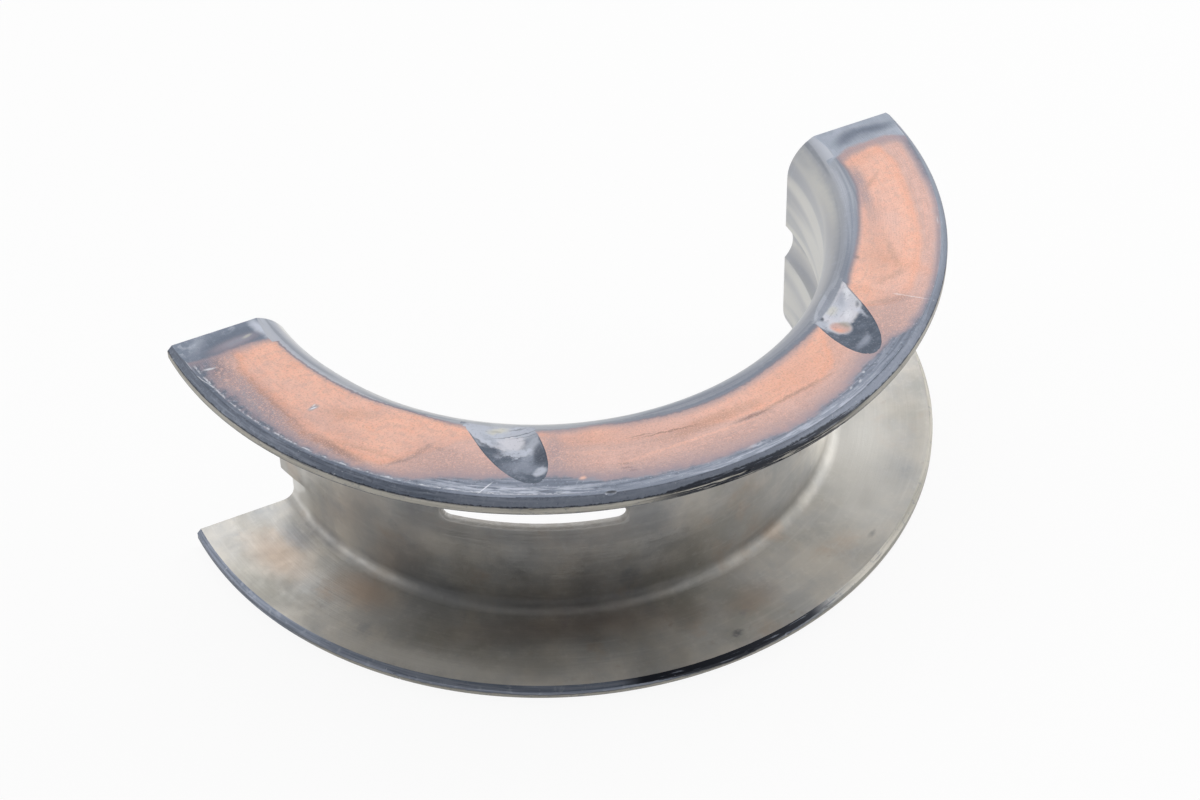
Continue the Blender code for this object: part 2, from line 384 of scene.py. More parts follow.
def slot_cutters():
    """A band turned round the axis for the oil slot, and a round peg for each end."""
    deep = WALL + CUT_MARGIN - SLOT_ROLL
    middle = BACK_RADIUS - SLOT_ROLL - deep / 2
    height = MID_HEIGHT + GROOVE_RISE
    half = (SLOT_LENGTH - SLOT_WIDTH) / 2 / BACK_RADIUS
    centre = math.radians(-90 - SLOT_CENTRE)
    first = centre + half
    bpy.ops.mesh.primitive_plane_add(
        size=1,
        location=(middle * math.cos(first), AXIS_Y + middle * math.sin(first), height),
        rotation=(math.pi / 2, 0, first),
    )
    band = bpy.context.active_object
    band.scale = (deep, SLOT_WIDTH, 1)
    set_down(band, "slot_band")
    flare_outwards(band, first, height)
    bpy.ops.mesh.select_all(action="SELECT")
    bpy.ops.mesh.spin(steps=STEPS_SLOT, angle=2 * half, center=(0, AXIS_Y, 0), axis=(0, 0, 1))
    tidy_surface()
    end_edit()
    cutters = [band]
    for turn in (first, centre - half):
        bpy.ops.mesh.primitive_cylinder_add(
            vertices=STEPS_SLOT,
            radius=SLOT_WIDTH / 2,
            depth=deep,
            location=(middle * math.cos(turn), AXIS_Y + middle * math.sin(turn), height),
            rotation=(0, math.pi / 2, turn),
        )
        peg = set_down(bpy.context.active_object, "slot_end")
        flare_outwards(peg, turn, height)
        tidy_surface()
        end_edit()
        cutters.append(peg)
    return cutters


def nick_cutters():
    """Small flattened balls that bite into the edges of the flanges."""
    cutters = []
    for side, turn, level, size in NICKS:
        angle = math.radians(turn - 90)
        radius = FLANGE_RADIUS + size * 0.55
        if level == 0:
            radius = FLANGE_RADIUS - THRUST_CHAMFER
        height = WIDTH - level if side > 0 else level
        bpy.ops.mesh.primitive_ico_sphere_add(
            subdivisions=2,
            radius=size,
            location=(radius * math.cos(angle), AXIS_Y + radius * math.sin(angle), height),
            rotation=(0, 0, angle),
            scale=(1.0, 2.1, 0.9),
        )
        cutters.append(set_down(bpy.context.active_object, "nick_cutter"))
    return cutters


def cut(shell, cutter):
    """Take a cutter out of the shell and throw the cutter away."""
    step = shell.modifiers.new(cutter.name, "BOOLEAN")
    step.operation = "DIFFERENCE"
    step.solver = "EXACT"
    step.object = cutter
    bpy.ops.object.select_all(action="DESELECT")
    shell.select_set(True)
    bpy.context.view_layer.objects.active = shell
    bpy.ops.object.modifier_apply(modifier=step.name)
    bpy.data.objects.remove(cutter)


def model_shell():
    """The whole shell, with its grooves, slot, reliefs, lug and nicks."""
    shell = turn_half_round(section_face())
    ease_inner_edges(shell)
    press_lug(shell)
    cut(shell, groove_cutter())
    for cutter in slot_cutters():
        cut(shell, cutter)
    for side in (1, -1):
        cut(shell, relief_cutter(side))
        for place in SCOOP_PLACES:
            cut(shell, scoop_cutter(place, side))
    for cutter in nick_cutters():
        cut(shell, cutter)
    bpy.ops.object.shade_smooth_by_angle(angle=math.radians(28))
    return shell


bpy.ops.object.select_all(action="DESELECT")
shell = model_shell()

# Finishes

SHELL_MM = 1000.0
ROUNDING_WORN = 0.0006
PAINT_RADIUS = 50.0
CURVE_LOW = 44.0
CURVE_HIGH = 61.0


def seen(red, green, blue):
    """A colour given as it is seen, 0 to 255, turned into the light values of a shader."""
    shares = [value / 255 for value in (red, green, blue)]
    light = [s / 12.92 if s <= 0.04045 else ((s + 0.055) / 1.055) ** 2.4 for s in shares]
    return (*light, 1.0)


COPPER_BRIGHT = seen(244, 190, 169)
COPPER_SANDY = seen(248, 202, 181)
COPPER_DULL = seen(208, 172, 164)
COPPER_PINK = seen(230, 193, 183)
COPPER_ORANGE = seen(234, 173, 146)
COPPER_TAN = seen(190, 148, 131)
STAIN_MAUVE = seen(166, 153, 161)
STAIN_ROSE = seen(194, 166, 163)
STAIN_BROWN = seen(144, 122, 118)
STAIN_DARK = seen(104, 88, 88)
OVERLAY_GREY = seen(153, 160, 175)
OVERLAY_SLATE = seen(110, 119, 135)
OVERLAY_DARK = seen(74, 81, 95)
OVERLAY_PALE = seen(202, 207, 220)
RELIEF_LEFT = seen(134, 144, 160)
RELIEF_RIGHT = seen(166, 174, 188)
RELIEF_DARK = seen(110, 120, 137)
SCOOP_PALE = seen(192, 197, 209)
SCOOP_WHITE = seen(208, 208, 216)
SCOOP_CREAM = seen(208, 206, 194)
SCOOP_SLATE = seen(82, 92, 107)
CHAMFER_SLATE = seen(108, 117, 133)
CHAMFER_GREY = seen(150, 157, 172)
STEEL_BEIGE = seen(210, 205, 197)
STEEL_GREY = seen(186, 186, 185)
STEEL_OLIVE = seen(157, 154, 144)
STEEL_TAN = seen(199, 173, 150)
STEEL_RUST = seen(146, 117, 97)
STEEL_BLUE = seen(139, 146, 158)
STEEL_LIGHT = seen(234, 232, 227)
STEEL_SHADE = seen(98, 102, 112)
RIM_BEIGE = seen(192, 188, 179)
RIM_OLIVE = seen(142, 139, 129)
BORE_GREY = seen(178, 180, 187)
BORE_LIGHT = seen(222, 221, 217)
BORE_BLUE = seen(150, 157, 172)
SLOT_GREY = seen(200, 198, 195)
SLOT_BROWN = seen(188, 184, 179)
OIL_BLACK = seen(38, 42, 52)
NICK_WHITE = seen(236, 238, 244)


def feed(tree, socket, value):
    """Give an input a plain value, or join another socket to it."""
    if isinstance(value, bpy.types.NodeSocket):
        tree.links.new(value, socket)
    else:
        socket.default_value = value


def add_node(tree, kind, inputs=None, **settings):
    """One node, its settings, and its inputs given as plain values or as other sockets."""
    node = tree.nodes.new("ShaderNode" + kind)
    for name, value in settings.items():
        setattr(node, name, value)
    for name, value in (inputs or {}).items():
        feed(tree, node.inputs[name], value)
    return node


def reckon(tree, operation, *values):
    """A sum on one to three values."""
    inputs = dict(enumerate(values))
    return add_node(tree, "Math", inputs, operation=operation).outputs[0]


def times(tree, first, second):
    return reckon(tree, "MULTIPLY", first, second)


def plus(tree, first, second):
    return reckon(tree, "ADD", first, second)


def less(tree, first, second):
    """The first value less the second."""
    return reckon(tree, "SUBTRACT", first, second)


def most(tree, first, second):
    """The higher of two values."""
    return reckon(tree, "MAXIMUM", first, second)


def rise(tree, value, low, high):
    """0 below the low value, 1 above the high one, and smooth between. Works both ways."""
    inputs = {"Value": value, "From Min": low, "From Max": high}
    node = add_node(tree, "MapRange", inputs, interpolation_type="SMOOTHSTEP")
    return node.outputs["Result"]


def scale_to(tree, value, low, high, start, end):
    """Stretch a value from one range to another, in a straight line."""
    inputs = {"Value": value, "From Min": low, "From Max": high, "To Min": start, "To Max": end}
    return add_node(tree, "MapRange", inputs).outputs["Result"]


def lay_over(tree, share, under, over):
    """Lay one colour over another where the share is high."""
    node = add_node(tree, "Mix", {0: share, 6: under, 7: over}, data_type="RGBA")
    return node.outputs[2]


def tint(tree, colour, paint, mask, strength):
    """Lay a paint over a colour where the mask is high, as strongly as given."""
    return lay_over(tree, times(tree, mask, strength), colour, paint)


def grain(tree, vector, scale, detail=3.0, roughness=0.55, distortion=0.0):
    """Cloudy grain, 0 to 1."""
    inputs = {
        "Vector": vector,
        "Scale": scale,
        "Detail": detail,
        "Roughness": roughness,
        "Distortion": distortion,
    }
    return add_node(tree, "TexNoise", inputs).outputs["Fac"]


def use_effect(tree, name, **inputs):
    """Place a shared effect and give it its inputs."""
    node = tree.nodes.new("ShaderNodeGroup")
    node.node_tree = bpy.data.node_groups[name]
    for word, value in inputs.items():
        feed(tree, node.inputs[word], value)
    return node


def start_effect(name, inputs, outputs):
    """An empty node group with named inputs and outputs."""
    group = bpy.data.node_groups.new(name, "ShaderNodeTree")
    for word, kind in inputs:
        group.interface.new_socket(name=word, in_out="INPUT", socket_type="NodeSocket" + kind)
    for word, kind in outputs:
        group.interface.new_socket(name=word, in_out="OUTPUT", socket_type="NodeSocket" + kind)
    given = group.nodes.new("NodeGroupInput").outputs
    result = group.nodes.new("NodeGroupOutput").inputs
    return group, given, result


def make_place_effect():
    """Where a point lies on the shell, in millimetres and degrees."""
    outputs = [("Radius", "Float"), ("Turn", "Float"), ("Level", "Float"), ("Height", "Float"),
               ("Across", "Float"), ("Deep", "Float"), ("Wobble", "Float"),
               ("Round", "Vector"), ("Flat", "Vector")]
    tree, _, result = start_effect("place on shell", [], outputs)
    where = add_node(tree, "TexCoord").outputs["Object"]
    offset = add_node(tree, "VectorMath", {0: where, 1: (0, -AXIS_Y, 0)}, operation="ADD")
    flat = add_node(tree, "VectorMath", {0: offset.outputs[0], 1: (SHELL_MM,) * 3},
                    operation="MULTIPLY").outputs[0]
    parts = add_node(tree, "SeparateXYZ", {0: flat}).outputs
    across, deep, height = parts
    inverted = times(tree, deep, -1.0)
    squares = plus(tree, times(tree, across, across), times(tree, deep, deep))
    radius = reckon(tree, "SQRT", squares)
    turn = reckon(tree, "ARCTAN2", across, inverted)
    along = times(tree, turn, PAINT_RADIUS)
    other = less(tree, WIDTH * SHELL_MM, height)
    rounded = add_node(tree, "CombineXYZ", {0: along, 1: radius, 2: height}).outputs[0]
    made = {
        "Radius": radius,
        "Turn": reckon(tree, "DEGREES", turn),
        "Level": reckon(tree, "MINIMUM", height, other),
        "Height": height,
        "Across": across,
        "Deep": deep,
        "Wobble": less(tree, grain(tree, flat, 0.9, 4.0, 0.62), 0.5),
        "Round": rounded,
        "Flat": flat,
    }
    for word, socket in made.items():
        tree.links.new(socket, result[word])


def make_mottling_effect():
    """Cloudy patches: more of them the lower the two limits are."""
    inputs = [("Vector", "Vector"), ("Scale", "Float"), ("Low", "Float"), ("High", "Float")]
    tree, given, result = start_effect("mottling", inputs, [("Mask", "Float")])
    cloud = grain(tree, given["Vector"], given["Scale"], 5.0, 0.6)
    tree.links.new(rise(tree, cloud, given["Low"], given["High"]), result["Mask"])


def make_streaks_effect():
    """Fine lines that run round the shell's axis."""
    inputs = [("Round", "Vector"), ("Fineness", "Float"), ("Run", "Float"),
              ("Low", "Float"), ("High", "Float"), ("Detail", "Float")]
    tree, given, result = start_effect("streaks round", inputs, [("Mask", "Float")])
    parts = add_node(tree, "SeparateXYZ", {0: given["Round"]}).outputs
    long = reckon(tree, "DIVIDE", parts[0], given["Run"])
    side = times(tree, parts[1], given["Fineness"])
    up = times(tree, parts[2], given["Fineness"])
    drawn = add_node(tree, "CombineXYZ", {0: long, 1: side, 2: up}).outputs[0]
    lines = grain(tree, drawn, 1.0, given["Detail"], 0.6)
    tree.links.new(rise(tree, lines, given["Low"], given["High"]), result["Mask"])


def make_patch_effect():
    """One oval patch on the face, with a soft and a little ragged edge."""
    inputs = [("Flat", "Vector"), ("Wobble", "Float"), ("Across", "Float"), ("Deep", "Float"),
              ("Tilt", "Float"), ("Length", "Float"), ("Breadth", "Float"), ("Blur", "Float"),
              ("Ragged", "Float")]
    tree, given, result = start_effect("patch", inputs, [("Mask", "Float")])
    shift = times(tree, given["Wobble"], given["Ragged"])
    parts = add_node(tree, "SeparateXYZ", {0: given["Flat"]}).outputs
    aside = plus(tree, less(tree, parts[0], given["Across"]), shift)
    ahead = plus(tree, less(tree, parts[1], given["Deep"]), shift)
    angle = reckon(tree, "RADIANS", given["Tilt"])
    cosine = reckon(tree, "COSINE", angle)
    sine = reckon(tree, "SINE", angle)
    long = plus(tree, times(tree, aside, cosine), times(tree, ahead, sine))
    wide = less(tree, times(tree, ahead, cosine), times(tree, aside, sine))
    long = reckon(tree, "DIVIDE", long, given["Length"])
    wide = reckon(tree, "DIVIDE", wide, given["Breadth"])
    away = reckon(tree, "SQRT", plus(tree, times(tree, long, long), times(tree, wide, wide)))
    outer = plus(tree, 1.0, given["Blur"])
    inner = less(tree, 1.0, given["Blur"])
    tree.links.new(rise(tree, away, outer, inner), result["Mask"])


def make_effects():
    make_place_effect()
    make_mottling_effect()
    make_streaks_effect()
    make_patch_effect()


def radius_limit(tree, turn, points):
    """A radius that changes with the turn, drawn as a smooth curve through the points."""
    share = scale_to(tree, turn, -90.0, 90.0, 0.0, 1.0)
    node = add_node(tree, "FloatCurve", {"Value": share})
    curve = node.mapping.curves[0]
    places = [((turn_ + 90) / 180, (radius - CURVE_LOW) / (CURVE_HIGH - CURVE_LOW))
              for turn_, radius in points]
    curve.points[0].location = places[0]
    curve.points[-1].location = places[-1]
    for place in places[1:-1]:
        curve.points.new(*place)
    node.mapping.update()
    return scale_to(tree, node.outputs[0], 0.0, 1.0, CURVE_LOW, CURVE_HIGH)


def start_finish(name):
    """A new material, its tree, its shader and the place of each point on the shell."""
    material = bpy.data.materials.new(name)
    material.use_nodes = True
    tree = material.node_tree
    shader = tree.nodes["Principled BSDF"]
    place = use_effect(tree, "place on shell").outputs
    return material, tree, shader, place


def set_finish(tree, shader, colour, roughness, metallic, height, depth):
    """Join colour, roughness, metal and surface relief to the shader."""
    for word, value in (("Base Color", colour), ("Roughness", roughness), ("Metallic", metallic)):
        feed(tree, shader.inputs[word], value)
    bump = add_node(tree, "Bump", {"Height": height, "Strength": 1.0, "Distance": depth})
    tree.links.new(bump.outputs[0], shader.inputs["Normal"])


# How far out the bright copper and all the copper reach, and how far in the copper
# starts: degrees from the crown, radius
BRIGHT_LIMIT = (
    (-90, 52.4), (-83, 52.2), (-79, 53.4), (-73, 53.7), (-67, 54.8), (-61, 56.2), (-55, 55.9),
    (-50.5, 56.4), (-48, 55.4), (-46, 53.6), (-42, 50.8), (-37, 47.6), (-30, 46.0),
    (-22, 48.6), (-14, 49.4), (-6, 49.6), (6, 51.6), (14, 52.6), (21, 53.0), (26, 51.6),
    (33, 48.0), (39, 50.0), (43, 55.0), (47, 55.8), (53, 56.0), (59, 55.9), (65, 55.4),
    (71, 55.0), (77, 55.1), (82, 54.2), (90, 54.0),
)
COPPER_LIMIT = (
    (-90, 55.0), (-86, 55.4), (-82, 57.0), (-79, 57.7), (-75, 57.3), (-70, 57.4), (-66, 57.7),
    (-61, 57.9), (-54, 58.1), (-46, 57.9), (-40, 56.4), (-34, 55.6), (-30, 55.2), (-26, 54.9),
    (-21, 55.6), (-15, 56.7), (-5, 57.1), (4, 57.3), (12, 57.6), (17, 57.3), (21, 57.1),
    (28, 56.4), (34, 57.0), (39, 58.4), (44, 58.8), (55, 58.8), (62, 58.9), (69, 58.9),
    (74, 58.5), (80, 58.4), (84, 58.2), (90, 58.2),
)
INNER_LIMIT = (
    (-90, 46.1), (-80, 45.95), (-74, 45.8), (-66, 45.65), (-58, 45.45), (-50, 45.1),
    (-45, 45.4), (-38, 45.9), (-30, 46.0), (-22, 45.8), (-17, 45.4), (-12, 45.9), (-7, 46.1),
    (-1, 46.5), (5, 46.6), (12, 46.45), (17, 46.15), (30, 46.3), (38, 46.6), (44, 46.8),
    (48, 46.45), (54, 46.55), (60, 46.8), (65, 47.0), (69, 47.35), (73, 47.6), (77, 47.45),
    (81, 47.1), (90, 46.9),
)

# Marks on the thrust face: colour, strength, across, deep, tilt, half length, half
# breadth, blur, ragged
COPPER_MARKS = (
    (COPPER_ORANGE, 0.55, 17.5, -46.9, 18, 7.0, 2.4, 0.9, 2.0),
    (COPPER_DULL, 0.60, -9.0, -47.4, -11, 8.5, 2.0, 0.8, 2.0),
    (COPPER_PINK, 0.50, -2.0, -47.6, -3, 7.0, 1.2, 0.9, 2.0),
    (COPPER_ORANGE, 0.30, -16.6, -45.2, -20, 3.4, 1.1, 0.8, 1.4),
    (COPPER_ORANGE, 0.50, -50.2, -18.6, -76, 8.5, 0.7, 0.9, 1.0),
    (COPPER_ORANGE, 0.45, 42.5, -33.5, -52, 5.5, 1.2, 0.9, 1.2),
    (COPPER_ORANGE, 0.40, 49.5, -8.6, 10, 3.2, 1.2, 0.9, 1.0),
    (COPPER_TAN, 0.60, 1.4, -50.1, 3, 7.0, 1.0, 0.8, 1.2),
    (COPPER_TAN, 0.30, 40.0, -30.5, 62, 4.4, 2.4, 0.9, 2.0),
    (COPPER_TAN, 0.45, 42.2, -30.2, 76, 4.0, 0.50, 0.9, 1.8),
    (COPPER_TAN, 0.45, 39.0, -35.0, 8, 2.6, 0.50, 0.9, 1.8),
    (COPPER_DULL, 0.55, 43.2, -23.0, 62, 4.2, 1.4, 0.9, 1.8),
    (COPPER_TAN, 0.40, 47.6, -14.6, 35, 2.8, 0.35, 0.9, 1.2),
    (COPPER_PINK, 0.55, 46.0, -24.0, 65, 6.0, 1.4, 0.9, 2.0),
    (COPPER_SANDY, 0.60, -3.0, -52.3, -2, 8.0, 0.22, 0.9, 0.9),
    (COPPER_SANDY, 0.60, -17.6, -47.6, -30, 2.4, 0.22, 0.9, 0.8),
    (COPPER_SANDY, 0.50, -16.0, -48.0, -22, 2.8, 0.16, 0.9, 0.8),
    (COPPER_SANDY, 0.45, -40.5, -33.5, -45, 2.6, 0.35, 0.9, 1.2),
    (COPPER_SANDY, 0.50, -43.0, -28.4, -52, 4.6, 0.25, 0.9, 1.4),
    (COPPER_TAN, 0.40, -43.6, -25.0, -50, 2.4, 1.0, 0.9, 2.2),
    (COPPER_TAN, 0.35, -40.6, -26.4, -42, 2.6, 0.8, 0.9, 2.2),
    (COPPER_TAN, 0.35, -43.0, -33.4, -50, 5.5, 0.4, 0.9, 1.6),
    (COPPER_DULL, 0.50, -45.5, -26.5, -60, 5.0, 1.3, 0.9, 2.0),
    (OVERLAY_SLATE, 0.85, -56.3, -6.6, -82, 3.8, 1.7, 0.8, 2.0),
    (STAIN_MAUVE, 0.60, -53.2, -14.6, -75, 4.6, 2.1, 0.8, 2.4),
    (OVERLAY_GREY, 0.65, -54.6, -16.6, -72, 3.6, 1.5, 0.9, 3.4),
    (OVERLAY_GREY, 0.55, -53.4, -21.0, -66, 3.0, 1.2, 0.9, 3.4),
    (STAIN_MAUVE, 0.65, -51.8, -21.4, -68, 4.2, 2.0, 0.9, 2.4),
    (STAIN_MAUVE, 0.50, -49.6, -27.6, -61, 3.6, 1.3, 0.9, 1.8),
    (STAIN_BROWN, 0.35, -50.6, -20.0, -76, 6.4, 0.30, 0.9, 1.8),
    (STAIN_BROWN, 0.65, -46.6, -31.7, -66, 3.9, 0.65, 0.9, 1.4),
    (STAIN_BROWN, 0.70, -39.4, -37.6, -4, 1.9, 0.30, 0.9, 1.4),
    (STAIN_BROWN, 0.60, -36.6, -37.0, 16, 1.7, 0.36, 0.9, 1.6),
    (STAIN_BROWN, 0.50, -34.0, -38.0, -40, 1.5, 0.30, 0.9, 1.6),
    (STAIN_ROSE, 0.60, -36.4, -40.4, -24, 4.6, 1.9, 0.9, 2.4),
    (STAIN_ROSE, 0.80, -32.6, -42.0, -48, 6.4, 3.4, 0.9, 2.6),
    (COPPER_PINK, 0.50, -31.0, -39.0, -50, 2.6, 1.2, 0.9, 2.4),
    (STAIN_ROSE, 0.50, -43.0, -38.4, -45, 4.2, 1.2, 0.9, 2.0),
    (STAIN_MAUVE, 0.55, -14.5, -54.2, -14, 9.0, 1.4, 0.9, 2.4),
    (STAIN_ROSE, 0.50, 1.0, -54.8, 0, 12.0, 1.3, 0.9, 2.0),
    (STAIN_MAUVE, 0.80, -25.6, -49.6, -27, 5.6, 2.4, 0.9, 1.6),
    (STAIN_MAUVE, 0.75, -20.7, -46.4, 68, 4.4, 1.1, 0.9, 1.4),
    (STAIN_ROSE, 0.60, -19.0, -48.0, 62, 4.6, 2.2, 0.9, 2.0),
    (STAIN_MAUVE, 0.65, 30.8, -47.0, 32, 4.8, 2.8, 0.9, 1.6),
    (STAIN_ROSE, 0.75, 35.6, -42.4, 45, 4.6, 3.2, 0.8, 2.0),
    (STAIN_ROSE, 0.45, 26.0, -50.5, 25, 4.4, 2.4, 0.9, 2.0),
    (STAIN_BROWN, 0.35, 36.6, -39.6, -14, 3.4, 0.60, 0.9, 1.6),
    (STAIN_MAUVE, 0.80, 46.5, -13.2, 74, 2.8, 1.0, 0.9, 1.4),
    (STAIN_MAUVE, 0.75, 45.2, -17.4, 70, 2.0, 0.9, 0.9, 1.4),
    (STAIN_ROSE, 0.50, 44.6, -20.4, 66, 2.4, 0.8, 0.9, 1.4),
    (STAIN_DARK, 0.55, -4.8, -49.3, -9, 3.6, 0.16, 0.9, 0.9),
    (STAIN_DARK, 0.40, -8.6, -48.2, -8, 1.6, 0.12, 0.9, 0.9),
    (STAIN_DARK, 0.65, 6.9, -51.9, 2, 2.3, 0.30, 0.9, 0.9),
    (STAIN_BROWN, 0.55, 14.4, -50.6, 10, 5.0, 0.32, 0.9, 1.4),
    (STAIN_DARK, 0.45, -13.2, -52.2, -20, 0.7, 0.16, 0.7, 0.5),
    (STAIN_DARK, 0.45, -13.1, -53.1, -20, 0.8, 0.18, 0.7, 0.5),
    (STAIN_DARK, 0.40, -12.8, -53.9, -20, 0.7, 0.16, 0.7, 0.5),
    (STAIN_DARK, 0.60, 36.9, -28.7, -50, 0.55, 0.4, 0.6, 0.6),
)

# Scratches, flecks and nicks that show nearly white
PALE_MARKS = (
    (NICK_WHITE, 0.80, -31.9, -47.7, 22, 1.25, 0.09, 0.6, 0.1),
    (NICK_WHITE, 0.70, -56.3, -7.6, -10, 0.75, 0.20, 0.6, 0.4),
    (OVERLAY_GREY, 0.80, -46.3, -22.0, 10, 0.75, 0.40, 0.6, 0.6),
    (NICK_WHITE, 0.95, -46.4, -22.1, 0, 0.45, 0.13, 0.6, 0.5),
    (NICK_WHITE, 0.60, -46.1, -21.6, 30, 0.30, 0.12, 0.6, 0.5),
    (NICK_WHITE, 0.65, 39.8, -40.6, -42, 1.70, 0.07, 0.8, 0.2),
    (NICK_WHITE, 0.40, 38.0, -39.0, -42, 0.70, 0.12, 0.8, 0.4),
    (NICK_WHITE, 0.60, -57.8, -9.9, -70, 2.6, 0.07, 0.7, 0.3),
    (NICK_WHITE, 0.60, -53.9, -26.0, -60, 0.9, 0.20, 0.8, 0.8),
    (NICK_WHITE, 0.60, -52.0, -29.2, -10, 0.7, 0.12, 0.8, 0.8),
    (NICK_WHITE, 0.35, 52.0, -27.0, 62, 0.7, 0.10, 0.8, 0.4),
    (NICK_WHITE, 0.50, 50.4, -31.5, 20, 0.4, 0.14, 0.7, 0.4),
    (NICK_WHITE, 0.55, 23.6, -52.6, 40, 0.35, 0.16, 0.7, 0.5),
    (NICK_WHITE, 0.50, 25.0, -51.2, 40, 0.25, 0.16, 0.7, 0.5),
    (NICK_WHITE, 0.45, 21.7, -53.3, 40, 0.30, 0.14, 0.7, 0.5),
    (COPPER_SANDY, 0.80, -19.4, -52.1, 0, 0.45, 0.30, 0.7, 0.6),
    (COPPER_SANDY, 0.60, 21.2, -44.2, 30, 0.22, 0.16, 0.7, 0.3),
    (OVERLAY_PALE, 0.70, 4.5, -57.3, 5, 1.2, 0.26, 0.9, 1.6),
    (OVERLAY_PALE, 0.60, 12.2, -57.0, 10, 1.2, 0.16, 0.9, 1.0),
)

# Stains of the two reliefs, and the pale and dark parts of the scoops, partly the overlay's tone
# and partly painted light next to the bore and painted shade towards the tips
RELIEF_MARKS = (
    (OVERLAY_PALE, 0.45, -56.2, -2.2, 60, 1.9, 0.9, 0.9, 2.2),
    (RELIEF_DARK, 0.90, -51.0, -3.4, 6, 6.0, 2.5, 0.6, 1.2),
    (STAIN_MAUVE, 0.70, -51.2, -3.9, 7, 3.4, 1.0, 0.7, 0.8),
    (OVERLAY_GREY, 0.60, -50.6, -3.7, 7, 2.2, 0.6, 0.9, 0.8),
    (SCOOP_CREAM, 0.60, -49.0, -3.3, 12, 0.6, 0.25, 0.9, 0.5),
    (OVERLAY_PALE, 0.95, -46.7, -2.4, 105, 2.4, 0.75, 0.7, 0.6),
    (RELIEF_DARK, 0.90, 54.4, -2.7, -6, 3.8, 1.1, 0.8, 0.8),
    (OVERLAY_GREY, 0.60, 52.8, -3.9, -8, 3.0, 1.0, 0.9, 1.0),
    (RELIEF_DARK, 0.75, 50.2, -3.0, 28, 2.0, 1.0, 0.9, 1.0),
)
# Pale and white marks next to the bore are partly painted light, dark marks towards the tip
# partly painted shade
SCOOP_MARKS = (
    (OVERLAY_GREY, 0.60, -25.6, -46.4, -30, 2.6, 1.4, 0.8, 2.6),
    (OVERLAY_GREY, 0.70, -23.9, -44.6, 30, 2.0, 0.9, 0.8, 3.0),
    (SCOOP_PALE, 1.00, -25.4, -37.0, -25, 4.2, 1.3, 0.4, 0.8),
    (SCOOP_PALE, 1.00, -28.0, -37.5, -58, 3.6, 1.9, 0.3, 1.4),
    (SCOOP_PALE, 0.90, -23.4, -39.4, -20, 3.8, 1.7, 0.5, 1.6),
    (SCOOP_PALE, 0.70, -22.4, -42.6, 30, 1.7, 0.8, 0.6, 2.8),
    (SCOOP_CREAM, 0.80, -25.4, -37.8, -20, 1.3, 0.6, 0.7, 1.2),
    (OVERLAY_PALE, 0.80, -24.8, -43.2, -20, 2.6, 0.9, 0.6, 3.4),
    (SCOOP_WHITE, 0.95, -25.1, -41.0, -20, 2.1, 1.5, 0.3, 2.4),
    (OVERLAY_GREY, 0.60, -27.0, -39.4, -66, 1.6, 0.4, 0.8, 1.8),
    (OVERLAY_DARK, 0.85, -22.5, -45.3, 78, 1.9, 0.9, 0.4, 1.0),
    (OVERLAY_PALE, 0.75, -23.9, -48.2, 15, 1.1, 0.7, 0.4, 0.8),
    (OVERLAY_DARK, 0.70, -28.3, -39.9, -65, 2.8, 0.24, 0.8, 1.2),
    (OVERLAY_DARK, 0.60, -26.4, -43.2, -40, 1.4, 0.20, 0.8, 1.6),
    (OVERLAY_DARK, 0.65, -23.5, -39.9, -17, 2.8, 0.08, 0.7, 0.6),
    (OVERLAY_DARK, 0.45, -22.8, -40.7, -18, 1.9, 0.07, 0.7, 0.6),
    (OVERLAY_DARK, 0.50, -22.9, -38.9, -20, 1.0, 0.16, 0.8, 0.8),
    (SCOOP_WHITE, 1.00, 29.8, -36.4, 52, 5.2, 3.1, 0.12, 2.2),
    (SCOOP_PALE, 0.80, 28.8, -37.0, 20, 2.4, 1.3, 0.9, 2.4),
    (OVERLAY_GREY, 0.55, 30.4, -35.6, 60, 1.3, 0.6, 0.9, 2.4),
    (SCOOP_CREAM, 0.60, 28.0, -37.1, 40, 0.9, 0.7, 0.7, 1.0),
    (NICK_WHITE, 0.60, 31.7, -35.0, 60, 1.1, 0.45, 0.9, 1.4),
    (NICK_WHITE, 0.45, 29.6, -39.0, 50, 1.0, 0.5, 0.9, 1.8),
    (SCOOP_PALE, 0.80, 25.4, -40.1, -50, 2.6, 1.0, 0.5, 1.2),
    (OVERLAY_PALE, 0.70, 31.4, -39.6, -78, 1.2, 0.35, 0.8, 1.6),
    (OVERLAY_DARK, 0.65, 31.8, -37.9, 60, 0.50, 0.26, 0.8, 0.8),
    (OVERLAY_DARK, 0.80, 25.7, -38.3, 60, 0.36, 0.26, 0.6, 0.4),
    (OVERLAY_GREY, 0.75, 28.2, -45.6, 30, 1.3, 0.5, 0.9, 2.0),
    (OVERLAY_GREY, 0.60, 29.2, -45.0, 60, 0.9, 0.5, 0.9, 2.0),
    (SCOOP_WHITE, 0.90, 27.1, -40.9, -46, 1.75, 1.45, 0.25, 0.6),
    (COPPER_TAN, 0.70, 27.2, -41.0, -46, 1.45, 1.10, 0.3, 0.4),
    (STEEL_OLIVE, 0.70, 28.0, -40.7, -46, 0.80, 0.70, 0.6, 0.8),
    (COPPER_DULL, 0.90, 26.9, -41.2, -46, 1.20, 0.85, 0.5, 0.4),
    (COPPER_ORANGE, 0.60, 26.6, -41.4, -46, 0.80, 0.45, 0.9, 0.4),
)
